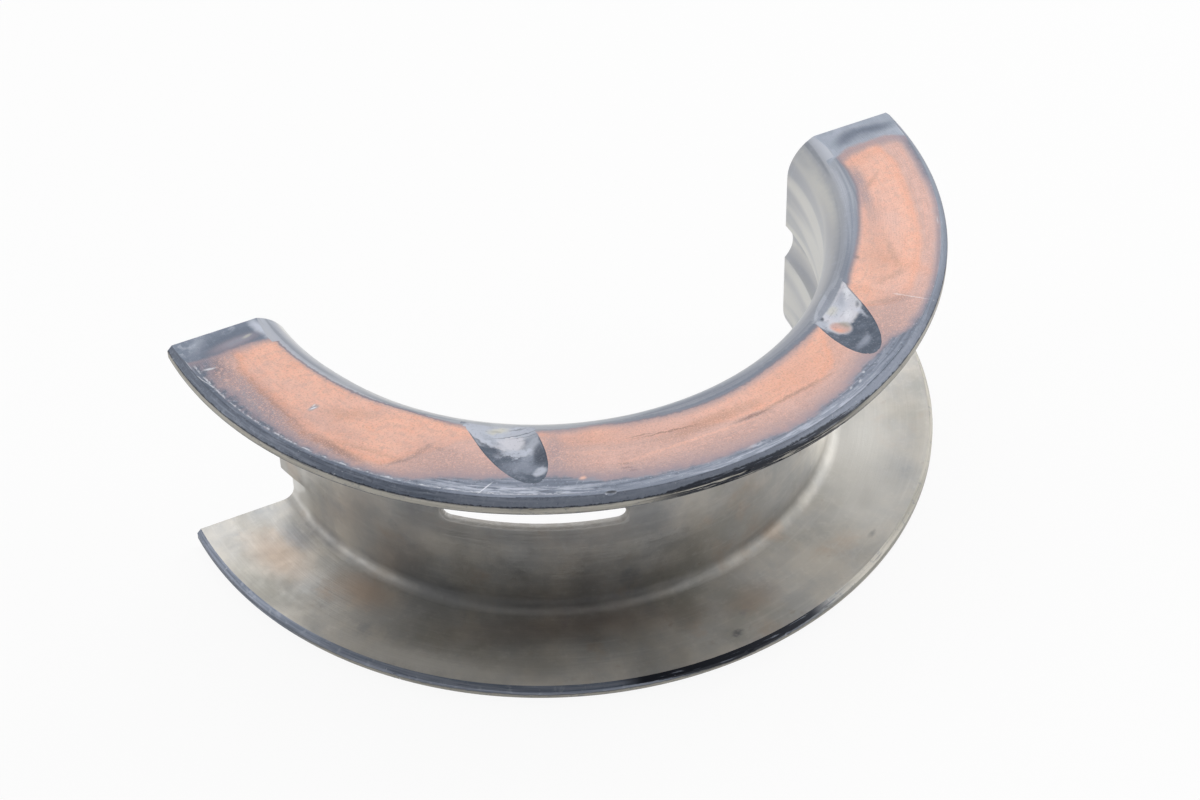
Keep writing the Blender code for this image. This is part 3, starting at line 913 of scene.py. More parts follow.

# Stains on the lower flange's back, with painted light in the light patches and olive patches
# that darken it: colour, strength, degrees from the crown, radius, half length and half breadth
BACK_MARKS = (
    (STEEL_TAN, 0.60, -61.0, 48.6, 4.2, 2.6),
    (STEEL_TAN, 0.55, -78.0, 52.0, 5.0, 3.2),
    (STEEL_RUST, 0.35, 8.5, 52.1, 3.4, 2.2),
    (OVERLAY_DARK, 0.60, 2.5, 56.7, 0.8, 0.5),
    (OVERLAY_DARK, 0.55, 32.0, 56.8, 0.7, 0.35),
    (STEEL_BLUE, 0.50, -80.0, 47.4, 3.0, 1.6),
    (STEEL_RUST, 0.35, -20.0, 47.6, 14.0, 2.6),
    (STEEL_LIGHT, 0.95, 50.0, 48.6, 9.0, 4.6),
    (STEEL_LIGHT, 0.60, 37.0, 53.5, 6.0, 4.0),
    (STEEL_LIGHT, 0.85, -45.0, 57.4, 9.0, 2.2),
    (STEEL_OLIVE, 0.50, -74.0, 57.6, 7.0, 2.6),
    (STEEL_OLIVE, 0.40, -28.0, 55.4, 4.0, 2.4),
    (STEEL_OLIVE, 0.30, 58.0, 58.0, 7.0, 1.8),
)


def patch_mask(tree, place, across, deep, tilt, length, breadth, blur, ragged):
    return use_effect(tree, "patch", Flat=place["Flat"], Wobble=place["Wobble"], Across=across,
                      Deep=deep, Tilt=tilt, Length=length, Breadth=breadth, Blur=blur,
                      Ragged=ragged).outputs[0]


def lay_marks(tree, colour, place, marks):
    """Lay a list of oval marks over a colour, each with its own colour and strength."""
    for paint, strength, *shape in marks:
        colour = tint(tree, colour, paint, patch_mask(tree, place, *shape), strength)
    return colour


def cloud_mask(tree, vector, scale, low, high):
    return use_effect(tree, "mottling", Vector=vector, Scale=scale, Low=low, High=high).outputs[0]


def cloud_over(tree, colour, paint, strength, vector, scale, low, high):
    """Lay a colour over another in cloudy patches."""
    return tint(tree, colour, paint, cloud_mask(tree, vector, scale, low, high), strength)


def streak_mask(tree, rounded, fineness, run, low, high, detail=3.0):
    return use_effect(tree, "streaks round", Round=rounded, Fineness=fineness, Run=run, Low=low,
                      High=high, Detail=detail).outputs[0]


def streak_over(tree, colour, paint, strength, rounded, fineness, run, low, high, detail=3.0):
    """Lay a colour over another in lines that run round the axis."""
    lines = streak_mask(tree, rounded, fineness, run, low, high, detail)
    return tint(tree, colour, paint, lines, strength)


def between(tree, value, low, high, soft):
    """1 between the two limits and 0 outside them, with soft ends."""
    return times(tree, rise(tree, value, low - soft, low), rise(tree, value, high + soft, high))


def copper_paint(tree, place, radius):
    """The copper of the thrust face: bright inside, dull and stained outside."""
    flat = place["Flat"]
    rounded = place["Round"]
    beyond = less(tree, radius, radius_limit(tree, place["Turn"], BRIGHT_LIMIT))
    bright = cloud_over(tree, COPPER_BRIGHT, COPPER_SANDY, 0.70, flat, 1.1, 0.35, 0.70)
    bright = cloud_over(tree, bright, COPPER_PINK, 0.50, flat, 0.16, 0.42, 0.66)
    bright = cloud_over(tree, bright, COPPER_ORANGE, 0.40, flat, 0.30, 0.50, 0.70)
    bright = streak_over(tree, bright, COPPER_DULL, 0.35, rounded, 1.1, 5.0, 0.48, 0.70)
    bright = cloud_over(tree, bright, COPPER_DULL, 0.40, flat, 0.75, 0.50, 0.64)
    dull = cloud_over(tree, COPPER_DULL, COPPER_PINK, 0.75, flat, 0.45, 0.35, 0.70)
    dull = streak_over(tree, dull, COPPER_PINK, 0.50, rounded, 1.3, 9.0, 0.45, 0.70)
    dull = streak_over(tree, dull, STAIN_ROSE, 0.40, rounded, 0.9, 12.0, 0.48, 0.70)
    dull = streak_over(tree, dull, COPPER_BRIGHT, 0.40, rounded, 1.8, 6.0, 0.55, 0.72)
    off_crown = most(tree, rise(tree, place["Turn"], -34.0, -46.0),
                     rise(tree, place["Turn"], 10.0, 24.0))
    tide = times(tree, rise(tree, beyond, -1.6, -0.3),
                 scale_to(tree, off_crown, 0.0, 1.0, 0.12, 0.45))
    colour = lay_over(tree, tide, bright, COPPER_ORANGE)
    colour = lay_over(tree, rise(tree, beyond, -0.4, 0.7), colour, dull)

    left_side = rise(tree, place["Turn"], -48.0, -60.0)
    outside = times(tree, left_side, rise(tree, beyond, 0.2, 1.6))
    colour = tint(tree, colour, STAIN_MAUVE, outside, 0.45)
    colour = lay_marks(tree, colour, place, COPPER_MARKS)
    rim_line = times(tree, left_side, between(tree, beyond, -0.1, 0.5, 0.3))
    broken = cloud_mask(tree, flat, 0.9, 0.40, 0.62)
    rim_line = times(tree, rim_line, broken)
    colour = tint(tree, colour, COPPER_TAN, rim_line, 0.55)

    outer = rise(tree, beyond, 0.0, 1.2)
    dabs = cloud_mask(tree, flat, 1.5, 0.52, 0.62)
    dabbed = times(tree, dabs, outer)
    colour = tint(tree, colour, COPPER_PINK, dabbed, 0.50)
    smuts = cloud_mask(tree, flat, 1.0, 0.54, 0.66)
    smudged = times(tree, times(tree, smuts, outer), left_side)
    colour = tint(tree, colour, OVERLAY_GREY, smudged, 0.45)
    specks = cloud_mask(tree, flat, 2.1, 0.57, 0.68)
    speckled = times(tree, specks, scale_to(tree, place["Turn"], 30.0, 48.0, 0.32, 0.12))
    colour = lay_over(tree, speckled, colour, STAIN_BROWN)
    colour = cloud_over(tree, colour, COPPER_TAN, 0.42, flat, 3.4, 0.51, 0.63)
    return cloud_over(tree, colour, COPPER_SANDY, 0.50, flat, 4.2, 0.50, 0.64)


def bore_paint(tree, place):
    """Grey overlay of the bore, streaked by running, and its rounded edges."""
    rounded = place["Round"]
    colour = streak_over(tree, BORE_LIGHT, BORE_GREY, 0.75, rounded, 0.27, 38.0, 0.38, 0.66, 0.3)
    colour = streak_over(tree, colour, BORE_BLUE, 0.35, rounded, 0.42, 32.0, 0.50, 0.70, 0.3)
    edge_lines = streak_mask(tree, rounded, 1.1, 26.0, 0.46, 0.60, 1.0)
    edge_lines = times(tree, edge_lines, rise(tree, place["Radius"], 43.6, 44.8))
    edge = plus(tree, place["Radius"], place["Wobble"])
    grey = times(tree, rise(tree, edge, 42.8, 44.6), 0.65)
    colour = lay_over(tree, grey, colour, OVERLAY_GREY)
    off_crown = most(tree, rise(tree, place["Turn"], -34.0, -50.0),
                     rise(tree, place["Turn"], 44.0, 58.0))
    pale = times(tree, rise(tree, edge, 44.6, 45.6), off_crown)
    colour = tint(tree, colour, OVERLAY_PALE, pale, 0.40)
    colour = tint(tree, colour, OVERLAY_SLATE, edge_lines, 0.40)
    return cloud_over(tree, colour, OVERLAY_PALE, 0.25, place["Flat"], 1.2, 0.54, 0.74)


def border_paint(tree, place):
    """The overlay left round the copper: slate with streaks, frosted and paler outside."""
    flat = place["Flat"]
    rounded = place["Round"]
    turn = place["Turn"]
    border = streak_over(tree, OVERLAY_GREY, OVERLAY_SLATE, 0.80, rounded, 2.2, 6.0, 0.38, 0.62)
    ends = most(tree, rise(tree, turn, -46.0, -66.0), rise(tree, turn, 24.0, 44.0))
    border = tint(tree, border, OVERLAY_SLATE, ends, 0.70)
    border = cloud_over(tree, border, OVERLAY_DARK, 0.35, flat, 1.2, 0.54, 0.68)
    border = cloud_over(tree, border, OVERLAY_PALE, 0.45, flat, 2.2, 0.58, 0.68)
    left_end = rise(tree, turn, -52.0, -62.0)
    rosy = cloud_mask(tree, flat, 0.8, 0.42, 0.62)
    rosy = times(tree, rosy, left_end)
    border = tint(tree, border, STAIN_MAUVE, rosy, 0.60)
    flecks = cloud_mask(tree, flat, 1.9, 0.56, 0.66)
    flecks = times(tree, flecks, left_end)
    border = tint(tree, border, OVERLAY_PALE, flecks, 0.45)

    wobble = times(tree, place["Wobble"], 0.8)
    edge = plus(tree, place["Radius"], wobble)
    near_crown = times(tree, rise(tree, turn, -46.0, -36.0), rise(tree, turn, -14.0, -24.0))
    frost = streak_mask(tree, rounded, 2.4, 2.6, 0.42, 0.58)
    frosted = times(tree, frost, between(tree, edge, 57.2, 58.2, 0.5))
    frosted = times(tree, frosted, near_crown)
    border = tint(tree, border, OVERLAY_PALE, frosted, 0.75)
    right_half = times(tree, rise(tree, turn, -14.0, -2.0), rise(tree, turn, 30.0, 20.0))
    pale = streak_over(tree, CHAMFER_GREY, OVERLAY_PALE, 0.80, rounded, 3.0, 3.0, 0.46, 0.62)
    outer_band = times(tree, right_half, rise(tree, edge, 57.8, 58.3))
    border = tint(tree, border, pale, outer_band, 0.85)

    left_half = rise(tree, turn, -2.0, -12.0)
    worn_edge = times(tree, left_half, rise(tree, edge, 58.40, 58.55))
    border = lay_over(tree, worn_edge, border, chamfer_paint(tree, place))
    white_line = times(tree, rise(tree, turn, -18.0, -30.0),
                       between(tree, edge, 58.30, 58.44, 0.10))
    broken = cloud_mask(tree, flat, 0.9, 0.42, 0.62)
    white_line = times(tree, white_line, broken)
    return tint(tree, border, NICK_WHITE, white_line, 0.62)


def worn_thrust_face():
    """Copper worn through the overlay, with a grey border and a grey relief at each end."""
    material, tree, shader, place = start_finish("worn_thrust_face")
    flat = place["Flat"]
    wander = less(tree, grain(tree, flat, 0.45, 5.0, 0.65), 0.5)
    reach = scale_to(tree, place["Turn"], 34.0, 46.0, 2.4, 1.1)
    radius = plus(tree, place["Radius"], times(tree, wander, reach))
    colour = copper_paint(tree, place, radius)

    outside = less(tree, radius, radius_limit(tree, place["Turn"], COPPER_LIMIT))
    fringe = times(tree, rise(tree, outside, -1.5, -0.1), 0.70)
    colour = lay_over(tree, fringe, colour, STAIN_MAUVE)
    near_crown = between(tree, place["Turn"], -42.0, 28.0, 8.0)
    wide_fringe = times(tree, rise(tree, outside, -3.6, -0.6), near_crown)
    colour = tint(tree, colour, STAIN_MAUVE, wide_fringe, 0.50)
    softness = scale_to(tree, place["Turn"], 34.0, 46.0, 0.5, 0.8)
    border = rise(tree, outside, times(tree, softness, -1.0), softness)
    colour = lay_over(tree, border, colour, border_paint(tree, place))

    speckle = less(tree, grain(tree, flat, 1.4, 4.0, 0.7), 0.5)
    fray = scale_to(tree, place["Turn"], 38.0, 50.0, 0.9, 0.35)
    inner = plus(tree, place["Radius"], times(tree, speckle, fray))
    inside = less(tree, radius_limit(tree, place["Turn"], INNER_LIMIT), inner)
    crown = between(tree, place["Turn"], -20.0, 26.0, 6.0)
    start = scale_to(tree, crown, 0.0, 1.0, -0.9, -1.7)
    mauve = times(tree, rise(tree, inside, start, 0.1), 0.70)
    colour = lay_over(tree, mauve, colour, STAIN_MAUVE)
    bored = rise(tree, inside, -0.1, 0.4)
    colour = lay_over(tree, bored, colour, bore_paint(tree, place))
    left_seam = times(tree, between(tree, inside, -0.05, 0.15, 0.15),
                      rise(tree, place["Turn"], -38.0, -50.0))
    right_seam = times(tree, between(tree, inside, 0.05, 0.55, 0.35),
                       rise(tree, place["Turn"], -24.0, -4.0))
    right_seam = times(tree, right_seam, scale_to(tree, place["Turn"], 36.0, 50.0, 0.85, 0.45))
    seam = most(tree, left_seam, right_seam)
    colour = tint(tree, colour, OVERLAY_SLATE, seam, 0.60)
    shaded = times(tree, between(tree, inside, 0.2, 1.2, 0.8),
                   rise(tree, place["Turn"], -30.0, -10.0))
    colour = tint(tree, colour, OVERLAY_SLATE, shaded, 0.35)

    relief_edge = plus(tree, place["Deep"], times(tree, wander, 2.0))
    right_side = rise(tree, place["Across"], -20.0, 20.0)
    off_middle = reckon(tree, "DIVIDE", less(tree, place["Radius"], 53.0), 5.0)
    bowed = times(tree, reckon(tree, "POWER", off_middle, 2.0), -0.9)
    curved = less(tree, relief_edge, times(tree, right_side, bowed))
    start = scale_to(tree, right_side, 0.0, 1.0, -6.1, -6.9)
    rubbed = rise(tree, less(tree, curved, start), -0.9, 0.9)
    rubbed = times(tree, rubbed, scale_to(tree, bored, 0.0, 1.0, 0.75, 0.0))
    colour = lay_over(tree, rubbed, colour, STAIN_MAUVE)
    relief = cloud_over(tree, RELIEF_LEFT, OVERLAY_PALE, 0.50, flat, 0.9, 0.48, 0.70)
    relief = cloud_over(tree, relief, RELIEF_DARK, 0.45, flat, 1.7, 0.50, 0.66)
    smooth_relief = cloud_over(tree, RELIEF_RIGHT, OVERLAY_PALE, 0.30, flat, 0.35, 0.45, 0.65)
    relief = lay_over(tree, right_side, relief, smooth_relief)
    relief = lay_marks(tree, relief, place, RELIEF_MARKS)
    colour = lay_over(tree, rise(tree, curved, -5.6, -4.7), colour, relief)
    colour = lay_marks(tree, colour, place, PALE_MARKS)

    fine = grain(tree, flat, 5.0, 3.0, 0.6)
    turned = streak_mask(tree, place["Round"], 6.0, 8.0, 0.3, 0.7)
    height = plus(tree, times(tree, fine, 0.6), times(tree, turned, 0.3))
    plated = most(tree, border, bored)
    metal = scale_to(tree, plated, 0.0, 1.0, 0.3, 0.42)
    smoother = times(tree, bored, -0.16)
    rough = plus(tree, scale_to(tree, fine, 0.3, 0.7, 0.48, 0.66), smoother)
    set_finish(tree, shader, colour, rough, metal, height, 0.00005)
    return material


def scooped_groove():
    """Slate overlay, scratched next to the bore; its pale part next to the bore and dark part
    towards the tip are partly the overlay's tone and partly painted light and shade of the
    scoop's slopes.
    """
    material, tree, shader, place = start_finish("scooped_groove")
    flat = place["Flat"]
    # Slate base and scoop marks: partly the overlay's tone, partly painted light next to the bore
    # and painted shade towards the tip
    colour = cloud_over(tree, SCOOP_SLATE, OVERLAY_SLATE, 0.60, flat, 0.8, 0.44, 0.66)
    colour = lay_marks(tree, colour, place, SCOOP_MARKS)
    colour = streak_over(tree, colour, OVERLAY_DARK, 0.25, place["Round"], 2.2, 3.0, 0.58, 0.70)
    colour = cloud_over(tree, colour, OVERLAY_PALE, 0.15, flat, 3.4, 0.54, 0.66)
    colour = cloud_over(tree, colour, OVERLAY_SLATE, 0.30, flat, 2.6, 0.56, 0.68)
    start = scale_to(tree, place["Turn"], -30.0, 38.0, 44.7, 45.9)
    inner = plus(tree, place["Radius"], times(tree, place["Wobble"], 0.5))
    bored = rise(tree, less(tree, start, inner), -0.25, 0.15)
    colour = lay_over(tree, bored, colour, bore_paint(tree, place))
    lip = rise(tree, place["Level"], 0.07, 0.02)
    lip = times(tree, lip, between(tree, place["Radius"], 47.2, 53.0, 0.8))
    colour = tint(tree, colour, OVERLAY_DARK, lip, 0.60)
    fine = grain(tree, flat, 4.0, 3.0, 0.6)
    rough = scale_to(tree, fine, 0.3, 0.7, 0.42, 0.58)
    set_finish(tree, shader, colour, rough, 0.4, fine, 0.00005)
    return material


def chamfer_paint(tree, place):
    """Mottled slate with paler and darker streaks, that gets paler towards the right, and painted
    shade darkening it at the right end.
    """
    flat = place["Flat"]
    rounded = place["Round"]
    colour = streak_over(tree, CHAMFER_SLATE, CHAMFER_GREY, 0.65, rounded, 2.4, 5.0, 0.44, 0.68)
    colour = streak_over(tree, colour, OVERLAY_DARK, 0.50, rounded, 3.0, 4.0, 0.54, 0.68)
    far = times(tree, between(tree, place["Turn"], -32.0, 34.0, 10.0), 0.55)
    colour = lay_over(tree, far, colour, CHAMFER_GREY)
    colour = cloud_over(tree, colour, OVERLAY_GREY, 0.40, flat, 1.4, 0.50, 0.68)
    # Painted shade: the chamfer's right end darkened to slate
    right_end = times(tree, rise(tree, place["Turn"], 36.0, 50.0), 0.85)
    colour = lay_over(tree, right_end, colour, OVERLAY_SLATE)
    return cloud_over(tree, colour, OVERLAY_DARK, 0.35, flat, 2.4, 0.58, 0.68)


def oil_streaks(tree, place, low, high):
    """Ragged black smears that run round the flange's edge."""
    drawn = add_node(tree, "VectorMath", {0: place["Round"], 1: (0.22, 3.0, 3.0)},
                     operation="MULTIPLY")
    smear = grain(tree, drawn.outputs[0], 0.9, 5.0, 0.65)
    return rise(tree, smear, low, high)


def overlay_chamfer():
    """The plated chamfer: chipped, and worn to a dark line along its outer edge."""
    material, tree, shader, place = start_finish("overlay_chamfer")
    flat = place["Flat"]
    turn = place["Turn"]
    colour = chamfer_paint(tree, place)
    ragged = times(tree, less(tree, grain(tree, flat, 1.6, 4.0, 0.65), 0.5), 0.5)
    level = plus(tree, place["Level"], ragged)
    sooty = times(tree, rise(tree, turn, -12.0, -4.0), rise(tree, turn, 26.0, 16.0))
    sooty = times(tree, sooty, rise(tree, place["Height"], 18.0, 22.0))
    low_edge = scale_to(tree, sooty, 0.0, 1.0, 0.90, 0.50)
    past_edge = rise(tree, less(tree, level, low_edge), -0.06, 0.10)
    smeared = most(tree, less(tree, 1.0, sooty), oil_streaks(tree, place, 0.36, 0.46))
    black = times(tree, times(tree, past_edge, smeared), 0.9)
    colour = lay_over(tree, black, colour, OIL_BLACK)
    upper = times(tree, rise(tree, level, 0.16, 0.04), 0.35)
    colour = lay_over(tree, upper, colour, OVERLAY_DARK)
    colour = cloud_over(tree, colour, NICK_WHITE, 0.45, flat, 1.7, 0.66, 0.74)
    set_finish(tree, shader, colour, 0.45, 0.25, grain(tree, flat, 3.0), 0.00003)
    return material


def flange_rim():
    """Bare steel rim with dark lines, plated in places, chipped and black with oil."""
    material, tree, shader, place = start_finish("flange_rim")
    flat = place["Flat"]
    rounded = place["Round"]
    turn = place["Turn"]
    bare = streak_over(tree, RIM_BEIGE, RIM_OLIVE, 0.70, rounded, 3.4, 10.0, 0.40, 0.70)
    bare = streak_over(tree, bare, OVERLAY_DARK, 0.55, rounded, 3.0, 7.0, 0.58, 0.68)
    bare = cloud_over(tree, bare, OVERLAY_SLATE, 0.45, flat, 1.3, 0.56, 0.68)
    ragged = times(tree, less(tree, grain(tree, flat, 1.1, 4.0, 0.65), 0.5), 0.4)
    level = plus(tree, place["Level"], ragged)
    lower_flange = rise(tree, place["Height"], 22.0, 18.0)

    arris = between(tree, level, 2.14, 2.22, 0.12)
    first = rise(tree, level, 1.20, 1.06)
    lines = times(tree, most(tree, arris, first), 0.7)
    upper = lay_over(tree, lines, bare, OVERLAY_DARK)

    plate = streak_over(tree, CHAMFER_GREY, OVERLAY_SLATE, 0.75, rounded, 2.6, 8.0, 0.38, 0.62)
    plate = cloud_over(tree, plate, OVERLAY_PALE, 0.3, flat, 1.0, 0.52, 0.70)
    plate = streak_over(tree, plate, OVERLAY_DARK, 0.5, rounded, 3.2, 6.0, 0.56, 0.68)
    plate_edge = less(tree, level, 1.62)
    far_left = rise(tree, turn, -58.0, -68.0)
    plated = most(tree, rise(tree, plate_edge, 0.0, 0.12), far_left)
    plated = times(tree, plated, rise(tree, turn, 24.0, 8.0))
    lower = lay_over(tree, plated, bare, plate)
    seam = times(tree, between(tree, plate_edge, -0.06, 0.02, 0.10), rise(tree, turn, 26.0, 14.0))
    lower = tint(tree, lower, OVERLAY_DARK, seam, 0.65)
    under = times(tree, far_left, rise(tree, level, 1.25, 1.10))
    lower = tint(tree, lower, OVERLAY_DARK, under, 0.45)
    colour = lay_over(tree, lower_flange, upper, lower)

    upper_place = times(tree, rise(tree, turn, -16.0, -6.0), rise(tree, turn, 26.0, 12.0))
    from_crown = reckon(tree, "ABSOLUTE", turn)
    streak_low = scale_to(tree, from_crown, 0.0, 16.0, 1.35, 2.2)
    lower_place = times(tree, rise(tree, from_crown, 18.0, 13.0),
                        rise(tree, less(tree, level, streak_low), -0.05, 0.15))
    upper_oil = times(tree, oil_streaks(tree, place, 0.40, 0.50), upper_place)
    lower_oil = times(tree, oil_streaks(tree, place, 0.33, 0.43), lower_place)
    oily = add_node(tree, "Mix", {0: lower_flange, 2: upper_oil, 3: lower_oil}).outputs[0]
    colour = lay_over(tree, oily, colour, OIL_BLACK)
    colour = cloud_over(tree, colour, NICK_WHITE, 0.60, flat, 1.1, 0.68, 0.74)
    set_finish(tree, shader, colour, 0.45, 0.5, grain(tree, flat, 2.4), 0.00003)
    return material


def steel_back():
    """Dull bare steel, rolled, with tan and dark handling stains, painted light on the lower
    flange and at the back's left end, and painted shade along the fillet and on the web.
    """
    material, tree, shader, place = start_finish("steel_back")
    flat = place["Flat"]
    colour = cloud_over(tree, STEEL_GREY, STEEL_BEIGE, 0.9, flat, 0.11, 0.35, 0.68)
    colour = cloud_over(tree, colour, STEEL_OLIVE, 0.45, flat, 0.07, 0.45, 0.70)
    colour = cloud_over(tree, colour, STEEL_TAN, 0.40, flat, 0.13, 0.56, 0.76)
    colour = cloud_over(tree, colour, STEEL_RUST, 0.25, flat, 0.5, 0.63, 0.78)
    colour = cloud_over(tree, colour, STEEL_BLUE, 0.35, flat, 0.19, 0.60, 0.76)
    colour = cloud_over(tree, colour, STEEL_LIGHT, 0.18, flat, 0.9, 0.50, 0.75)
    colour = streak_over(tree, colour, STEEL_LIGHT, 0.12, place["Round"], 1.4, 10.0, 0.5, 0.7)
    lower_flange = rise(tree, place["Height"], 22.0, 18.0)
    # Stains, painted light patches and olive patches on the lower flange
    for paint, strength, degrees, radius, length, breadth in BACK_MARKS:
        angle = math.radians(degrees)
        patch = patch_mask(tree, place, radius * math.sin(angle), -radius * math.cos(angle),
                           degrees, length, breadth, 0.9, 2.0)
        share = times(tree, patch, lower_flange)
        colour = lay_over(tree, times(tree, share, strength), colour, paint)
    turn = place["Turn"]
    # Painted shade: the fillet into the lower flange is darkened over two spans of turn
    fillet = times(tree, rise(tree, place["Radius"], 46.4, 45.0),
                   rise(tree, place["Height"], 5.6, 4.0))
    shaded_turns = most(tree, between(tree, turn, -80.0, -74.0, 5.0),
                   between(tree, turn, -50.0, -12.0, 12.0))
    shade = times(tree, times(tree, fillet, shaded_turns), 0.32)
    colour = lay_over(tree, shade, colour, STEEL_SHADE)
    # Painted shade on the web, over two spans of turn
    web = times(tree, rise(tree, place["Radius"], 44.4, 44.2),
                between(tree, place["Height"], 5.0, 30.0, 1.5))
    shaded_web_turns = most(tree, between(tree, turn, 14.0, 32.0, 10.0),
                  between(tree, turn, -66.0, -54.0, 6.0))
    colour = tint(tree, colour, STEEL_SHADE, times(tree, web, shaded_web_turns), 0.25)
    # Painted shade on the web below the oil slot
    below_slot = times(tree, between(tree, place["Height"], 17.0, 23.0, 3.0),
                       between(tree, turn, -52.0, -6.0, 6.0))
    below_slot = times(tree, web, below_slot)
    colour = tint(tree, colour, STEEL_SHADE, below_slot, 0.35)
    # Lighter steel at the back's left parting end: partly a rubbed edge, partly a painted
    # reflection of the bright backdrop
    rubbed = times(tree, rise(tree, turn, -80.0, -84.0), rise(tree, place["Radius"], 44.6, 44.2))
    colour = tint(tree, colour, STEEL_LIGHT, rubbed, 0.85)
    fine = grain(tree, flat, 3.0, 4.0, 0.65)
    rolled = streak_mask(tree, place["Round"], 1.6, 14.0, 0.3, 0.7)
    height = plus(tree, times(tree, fine, 0.5), times(tree, rolled, 0.5))
    rough = scale_to(tree, grain(tree, flat, 0.25, 4.0, 0.6), 0.3, 0.7, 0.34, 0.5)
    dull_end = scale_to(tree, turn, 0.0, 14.0, 0.14, 0.26)
    rough = plus(tree, rough, times(tree, fillet, dull_end))
    set_finish(tree, shader, colour, rough, 0.9, height, 0.00002)
    return material


def plated_bore():
    """Grey overlay of the bore and its rounded edges."""
    material, tree, shader, place = start_finish("plated_bore")
    colour = bore_paint(tree, place)
    fine = streak_mask(tree, place["Round"], 5.0, 12.0, 0.3, 0.7)
    height = plus(tree, times(tree, fine, 0.3), times(tree, grain(tree, place["Flat"], 3.0), 0.4))
    rough = scale_to(tree, fine, 0.0, 1.0, 0.38, 0.41)
    set_finish(tree, shader, colour, rough, 0.45, height, 0.00001)
    return material


def cut_steel():
    """Parting faces: bare steel, machined straight across."""
    material, tree, shader, place = start_finish("cut_steel")
    brushed = add_node(tree, "VectorMath", {0: place["Flat"], 1: (0.3, 4.0, 5.0)},
                       operation="MULTIPLY").outputs[0]
    lines = grain(tree, brushed, 1.0, 3.0, 0.6)
    colour = lay_over(tree, rise(tree, lines, 0.35, 0.65), STEEL_GREY, STEEL_BEIGE)
    spots = cloud_mask(tree, place["Flat"], 0.4, 0.55, 0.7)
    colour = tint(tree, colour, STEEL_OLIVE, spots, 0.5)
    rough = scale_to(tree, lines, 0.3, 0.7, 0.3, 0.45)
    set_finish(tree, shader, colour, rough, 0.85, lines, 0.00002)
    return material


def punched_slot():
    """The oil slot's walls: dull steel with dirt from the oil."""
    material, tree, shader, place = start_finish("punched_slot")
    dirt = grain(tree, place["Flat"], 0.8, 3.0, 0.6)
    colour = lay_over(tree, rise(tree, dirt, 0.35, 0.65), SLOT_GREY, SLOT_BROWN)
    set_finish(tree, shader, colour, 0.6, 0.3, dirt, 0.00001)
    return material


def part_the_finishes(shell):
    """Give each face of the shell the finish of the place where it lies."""
    finishes = (worn_thrust_face, scooped_groove, overlay_chamfer, flange_rim, steel_back,
                plated_bore, cut_steel, punched_slot)
    for finish in finishes:
        shell.data.materials.append(finish())
    thrust, scoop, chamfer, rim, back, bore, bare, slot = range(len(finishes))
    for face in shell.data.polygons:
        middle = face.center
        radius = math.hypot(middle.x, middle.y - AXIS_Y)
        level = min(middle.z, WIDTH - middle.z)
        past_bore = (radius - BORE_RADIUS) / INNER_RADIUS
        upright = abs(face.normal.z)
        outward = (face.normal.x * middle.x + face.normal.y * (middle.y - AXIS_Y)) / radius
        in_scoop = any(abs(middle.x - place) < SCOOP_WIDTH / 2 + 1e-5 for place in SCOOP_PLACES)
        off_slot = abs(middle.z - MID_HEIGHT - GROOVE_RISE) - SLOT_WIDTH / 2 - SLOT_ROLL
        if face.normal.y > 0.999 and middle.y > AXIS_Y - 1e-4:
            kind = bare
        elif radius > FLANGE_RADIUS - THRUST_CHAMFER * 1.02 and level < THRUST_CHAMFER * 1.02:
            kind = chamfer if level > 2e-5 or upright < 0.99 else thrust
        elif in_scoop and 1e-5 < level < SCOOP_DEPTH * 1.05 and upright > 0.9 \
                and past_bore > 0.3 and middle.y < AXIS_Y:
            kind = scoop
        elif level < RELIEF_DEPTH * 1.1 and upright > 0.99 and past_bore > 0.6:
            kind = thrust
        elif level < ROUNDING_WORN and upright > 0.9 and past_bore > 0.64 \
                and middle.y < AXIS_Y - RELIEF_LENGTH * 1.3:
            kind = thrust
        elif radius > FLANGE_RADIUS - BACK_BEVEL * 1.05 and level > THRUST_CHAMFER:
            kind = rim
        elif level < FLANGE_THICKNESS - 1e-5 and radius > BACK_RADIUS:
            kind = bore
        elif radius > BACK_RADIUS - 1e-5:
            kind = back
        elif off_slot < 1e-4 and radius > BORE_RADIUS + 1e-4 and outward > -0.3:
            kind = slot
        else:
            kind = bore
        face.material_index = kind


make_effects()
part_the_finishes(shell)

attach(shell, "root")
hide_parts("bearing_shell")


# Floor, light and camera

FLOOR_COLOUR = (0.86, 0.86, 0.86, 1)
FLOOR_SEEN_WHITE = 0.92
FLOOR_REFLECTED_WHITE = 0.32
FLOOR_SIZE = 8
FLOOR_DROP = 0.0002
CAMERA_LENS = 83.597
CAMERA_SENSOR = 36
CAMERA_PLACE = (-0.13404, -0.26800, 0.30054)
CAMERA_DEGREES = (47.7403, 1.1299, -26.5661)


def floor_finish():
    """Plain pale floor: white to the camera and in reflections, with the shell's shadow."""
    material = bpy.data.materials.new("pale_floor")
    material.use_nodes = True
    tree = material.node_tree
    shader = tree.nodes["Principled BSDF"]
    shader.inputs["Base Color"].default_value = FLOOR_COLOUR
    shader.inputs["Roughness"].default_value = 0.9
    shader.inputs["Specular IOR Level"].default_value = 0.0
    glow = add_node(tree, "Emission", {"Color": (1, 1, 1, 1), "Strength": 1.0})
    ray = add_node(tree, "LightPath").outputs
    reflected = times(tree, ray["Is Glossy Ray"], FLOOR_REFLECTED_WHITE)
    direct = times(tree, ray["Is Camera Ray"], FLOOR_SEEN_WHITE)
    share = plus(tree, direct, reflected)
    mixed = add_node(tree, "MixShader", {0: share, 1: shader.outputs[0], 2: glow.outputs[0]})
    tree.links.new(mixed.outputs[0], tree.nodes["Material Output"].inputs["Surface"])
    return material


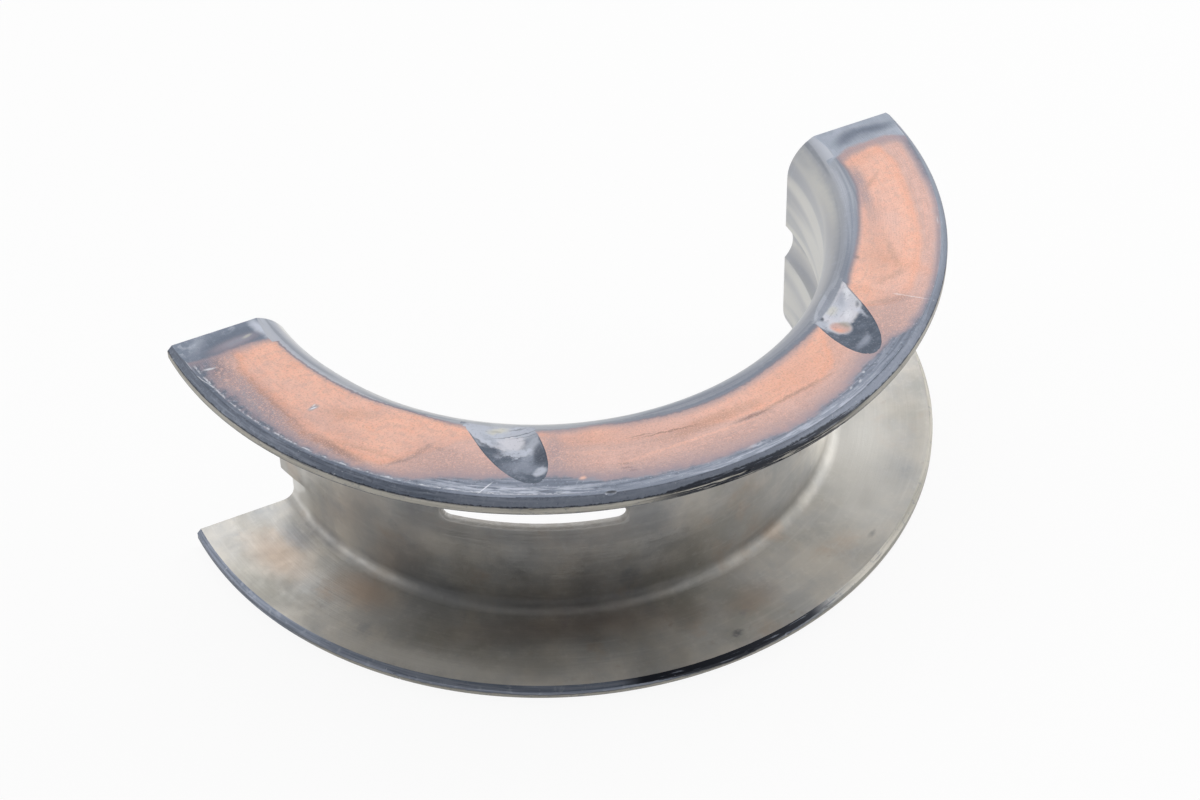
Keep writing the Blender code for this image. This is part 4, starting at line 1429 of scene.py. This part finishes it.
def lay_floor():
    bpy.ops.mesh.primitive_plane_add(size=FLOOR_SIZE, location=(0, 0, -FLOOR_DROP))
    floor = bpy.context.active_object
    floor.name = "floor"
    floor.data.materials.append(floor_finish())
    return floor


lay_floor()

camera_data = bpy.data.cameras.new("camera")
camera_data.lens = CAMERA_LENS
camera_data.sensor_width = CAMERA_SENSOR
camera = bpy.data.objects.new("camera", camera_data)
camera.location = CAMERA_PLACE
camera.rotation_euler = [math.radians(degrees) for degrees in CAMERA_DEGREES]
bpy.context.collection.objects.link(camera)
bpy.context.scene.camera = camera


# How bright the white backdrop is in reflections, and the plain light from all round
BACKDROP = 0.60
AMBIENT = 0.353


def hang_lamp(name, place, aim, size, power):
    data = bpy.data.lights.new(name, "AREA")
    data.shape = "DISK"
    data.size = size
    data.energy = power
    lamp = bpy.data.objects.new(name, data)
    lamp.location = place
    lamp.rotation_euler = (Vector(aim) - Vector(place)).to_track_quat("-Z", "Y").to_euler()
    bpy.context.collection.objects.link(lamp)
    return lamp


hang_lamp("overhead_softbox", (0.1, 0.35, 0.85), (0, 0, 0), 0.9, 2.8)
hang_lamp("left_softbox", (-0.8, 0.3, 0.33), (0, 0, 0), 0.5, 1.44)
hang_lamp("right_softbox", (0.8, 0.3, 0.33), (0, 0, 0), 0.5, 3.0)
hang_lamp("right_front_softbox", (0.65, -0.35, 0.4), (0, 0, 0), 0.5, 1.53)


def light_world():
    """Plain light from all round, and in reflections a backdrop behind a dark room."""
    world = bpy.data.worlds.new("studio")
    bpy.context.scene.world = world
    world.use_nodes = True
    tree = world.node_tree
    toward = add_node(tree, "TexCoord").outputs["Generated"]
    away = add_node(tree, "VectorMath", {0: toward, 1: (0.45, 0.89, 0.0)},
                    operation="DOT_PRODUCT").outputs["Value"]
    behind = rise(tree, away, -0.5, 0.4)
    ambient = tree.nodes["Background"]
    ambient.inputs["Color"].default_value = (1, 1, 1, 1)
    ambient.inputs["Strength"].default_value = AMBIENT
    backdrop = add_node(tree, "Background",
                        {"Color": (1, 1, 1, 1), "Strength": times(tree, behind, BACKDROP)})
    white = add_node(tree, "Background", {"Color": (1, 1, 1, 1), "Strength": 1.0})
    ray = add_node(tree, "LightPath").outputs
    mirrored = add_node(tree, "MixShader", {0: ray["Is Glossy Ray"], 1: ambient.outputs[0],
                                            2: backdrop.outputs[0]})
    mixed = add_node(tree, "MixShader", {0: ray["Is Camera Ray"], 1: mirrored.outputs[0],
                                         2: white.outputs[0]})
    tree.links.new(mixed.outputs[0], tree.nodes["World Output"].inputs["Surface"])


light_world()

bpy.context.scene.view_settings.view_transform = "Standard"
